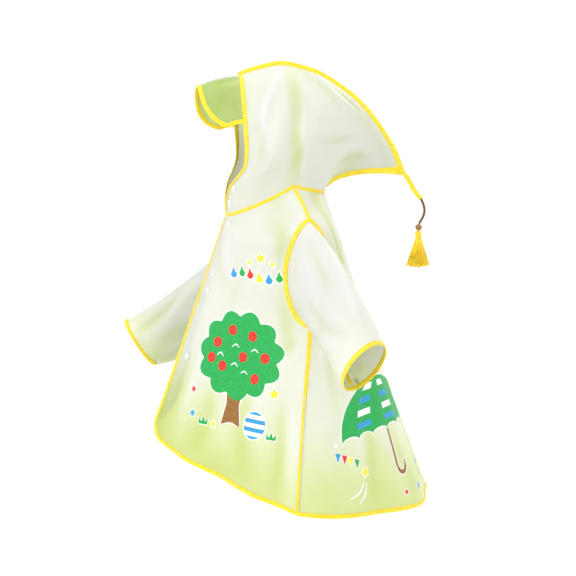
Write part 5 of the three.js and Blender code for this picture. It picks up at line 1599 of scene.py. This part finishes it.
# Each print: its name, the panel and the place that its middle lies on, and its motifs
for name, sheet, base, motifs in (
    ("front", front_sheets["left"], (0.65, 0.52),
     tree_motifs() + ball_motifs(62, -82) + tuft_motifs(-66, -100, 10) + tuft_motifs(104, -104, 9)
     + star_motifs(("yellow", 96, -14, 12, 0.2), ("blue", -96, -82, 9, 0.1),
                   ("red", -104, -34, 8, 0.3), ("yellow", -40, -96, 8))),
    ("drops", front_sheets["left"], (0.30, 0.58),
     drop_motifs(*row) + star_motifs(("yellow", 14, 38, 12, 0.2), ("yellow", -14, 27, 7),
                                     ("yellow", 40, 28, 7, 0.3))),
    ("right", front_sheets["right"], (0.72, 0.52),
     ball_motifs(0, 0) + tuft_motifs(-50, -30, 10)
     + star_motifs(("yellow", 46, 30, 12), ("blue", -52, 34, 9, 0.2), ("red", 60, -34, 8))),
    ("umbrella", back_sheet, (0.745, 0.47), umbrella_motifs()),
    ("side", back_sheet, (0.84, 0.76),
     pennant_motifs(-36, 30) + star_motifs(("yellow", 34, -22, 12, 0.2))
     + [("white", INK_LIFT, band(((26, -40), (8, -58), (-20, -66)), 4)),
        ("white", INK_LIFT, band(((34, -42), (24, -64), (2, -80)), 4))]),
    ("low", back_sheet, (0.945, 0.34),
     star_motifs(("blue", 0, 0, 11, 0.1), ("red", -60, 10, 7))
     + drop_motifs(("green", 58, 12, 8), ("blue", 84, 30, 8))),
    ("rain", back_sheet, (0.74, -0.35),
     drop_motifs(("blue", -80, -10, 9, 0.1), ("green", -40, 26, 9, 0.1), ("red", 10, 0, 9, 0.1),
                 ("blue", 56, 30, 9, 0.1))),
):
    print_motifs(name, sheet, base, motifs)

# Floor, light and world
# A white floor below the hanging coat, a broad key light from the camera's left, one light from
# above, one from the far side, and a bright white room, which keeps the film's shadows pale.
# The camera sees the room itself as plain white paper.
FLOOR_Z = -1.0
FLOOR_HALF = 40
FLOOR_GLOW = 0.09  # lifts the far floor to the white of the room
PAPER_STRENGTH = 1.05
WORLD_STRENGTH = 0.97

# Matt white emulsion paint: even, with no gloss that could show the lamps.
floor_finish, tree = new_material("painted_studio_floor")
place = add_node(tree, "ShaderNodeTexCoord").outputs["Object"]
mottle = add_node(tree, "ShaderNodeTexNoise", {"Vector": place, "Scale": 3.0})
floor_colour = colour_ramp(tree, mottle.outputs["Fac"], ((0.3, "FDFDFC"), (0.7, "FFFFFF")))
shader = add_node(tree, "ShaderNodeBsdfPrincipled", {
    "Base Color": floor_colour, "Roughness": 0.9, "Emission Color": linear("FFFFFF"),
    "Emission Strength": FLOOR_GLOW})
add_node(tree, "ShaderNodeOutputMaterial", {"Surface": shader.outputs[0]})
floor_mesh = bpy.data.meshes.new("floor")
floor_mesh.from_pydata([(-FLOOR_HALF, -FLOOR_HALF, FLOOR_Z), (FLOOR_HALF, -FLOOR_HALF, FLOOR_Z),
                        (FLOOR_HALF, FLOOR_HALF, FLOOR_Z), (-FLOOR_HALF, FLOOR_HALF, FLOOR_Z)],
                       [], [(0, 1, 2, 3)])
floor_mesh.materials.append(floor_finish)
floor = bpy.data.objects.new("floor", floor_mesh)
bpy.context.scene.collection.objects.link(floor)

world = bpy.data.worlds.new("white_room")
world.use_nodes = True
tree = world.node_tree
tree.nodes.clear()
room = add_node(tree, "ShaderNodeBackground", {"Color": linear("FFFFFF"), "Strength": WORLD_STRENGTH})
paper = add_node(tree, "ShaderNodeBackground", {"Color": linear("FFFFFF"), "Strength": PAPER_STRENGTH})
seen = add_node(tree, "ShaderNodeLightPath").outputs["Is Camera Ray"]
backdrop = add_node(tree, "ShaderNodeMixShader", {0: seen, 1: room.outputs[0], 2: paper.outputs[0]})
add_node(tree, "ShaderNodeOutputWorld", {"Surface": backdrop.outputs[0]})
bpy.context.scene.world = world

# Each light: place and aim in metres, size, power
for name, at, aim, size, power in (
    ("key", (1.9, -2.0, 1.7), (0, 0, -0.15), 1.1, 30),
    ("top", (0.3, 0.6, 2.6), (0, 0, -0.1), 1.6, 16),
    ("rim", (-1.8, 1.8, 1.2), (0, 0, -0.1), 1.2, 12),
):
    light_data = bpy.data.lights.new(name, "AREA")
    light_data.size = size
    light_data.energy = power
    light = bpy.data.objects.new(name, light_data)
    light.location = at
    light.rotation_mode = "QUATERNION"
    light.rotation_quaternion = (Vector(aim) - Vector(at)).to_track_quat("-Z", "Y")
    bpy.context.scene.collection.objects.link(light)

bpy.context.scene.view_settings.view_transform = "Standard"
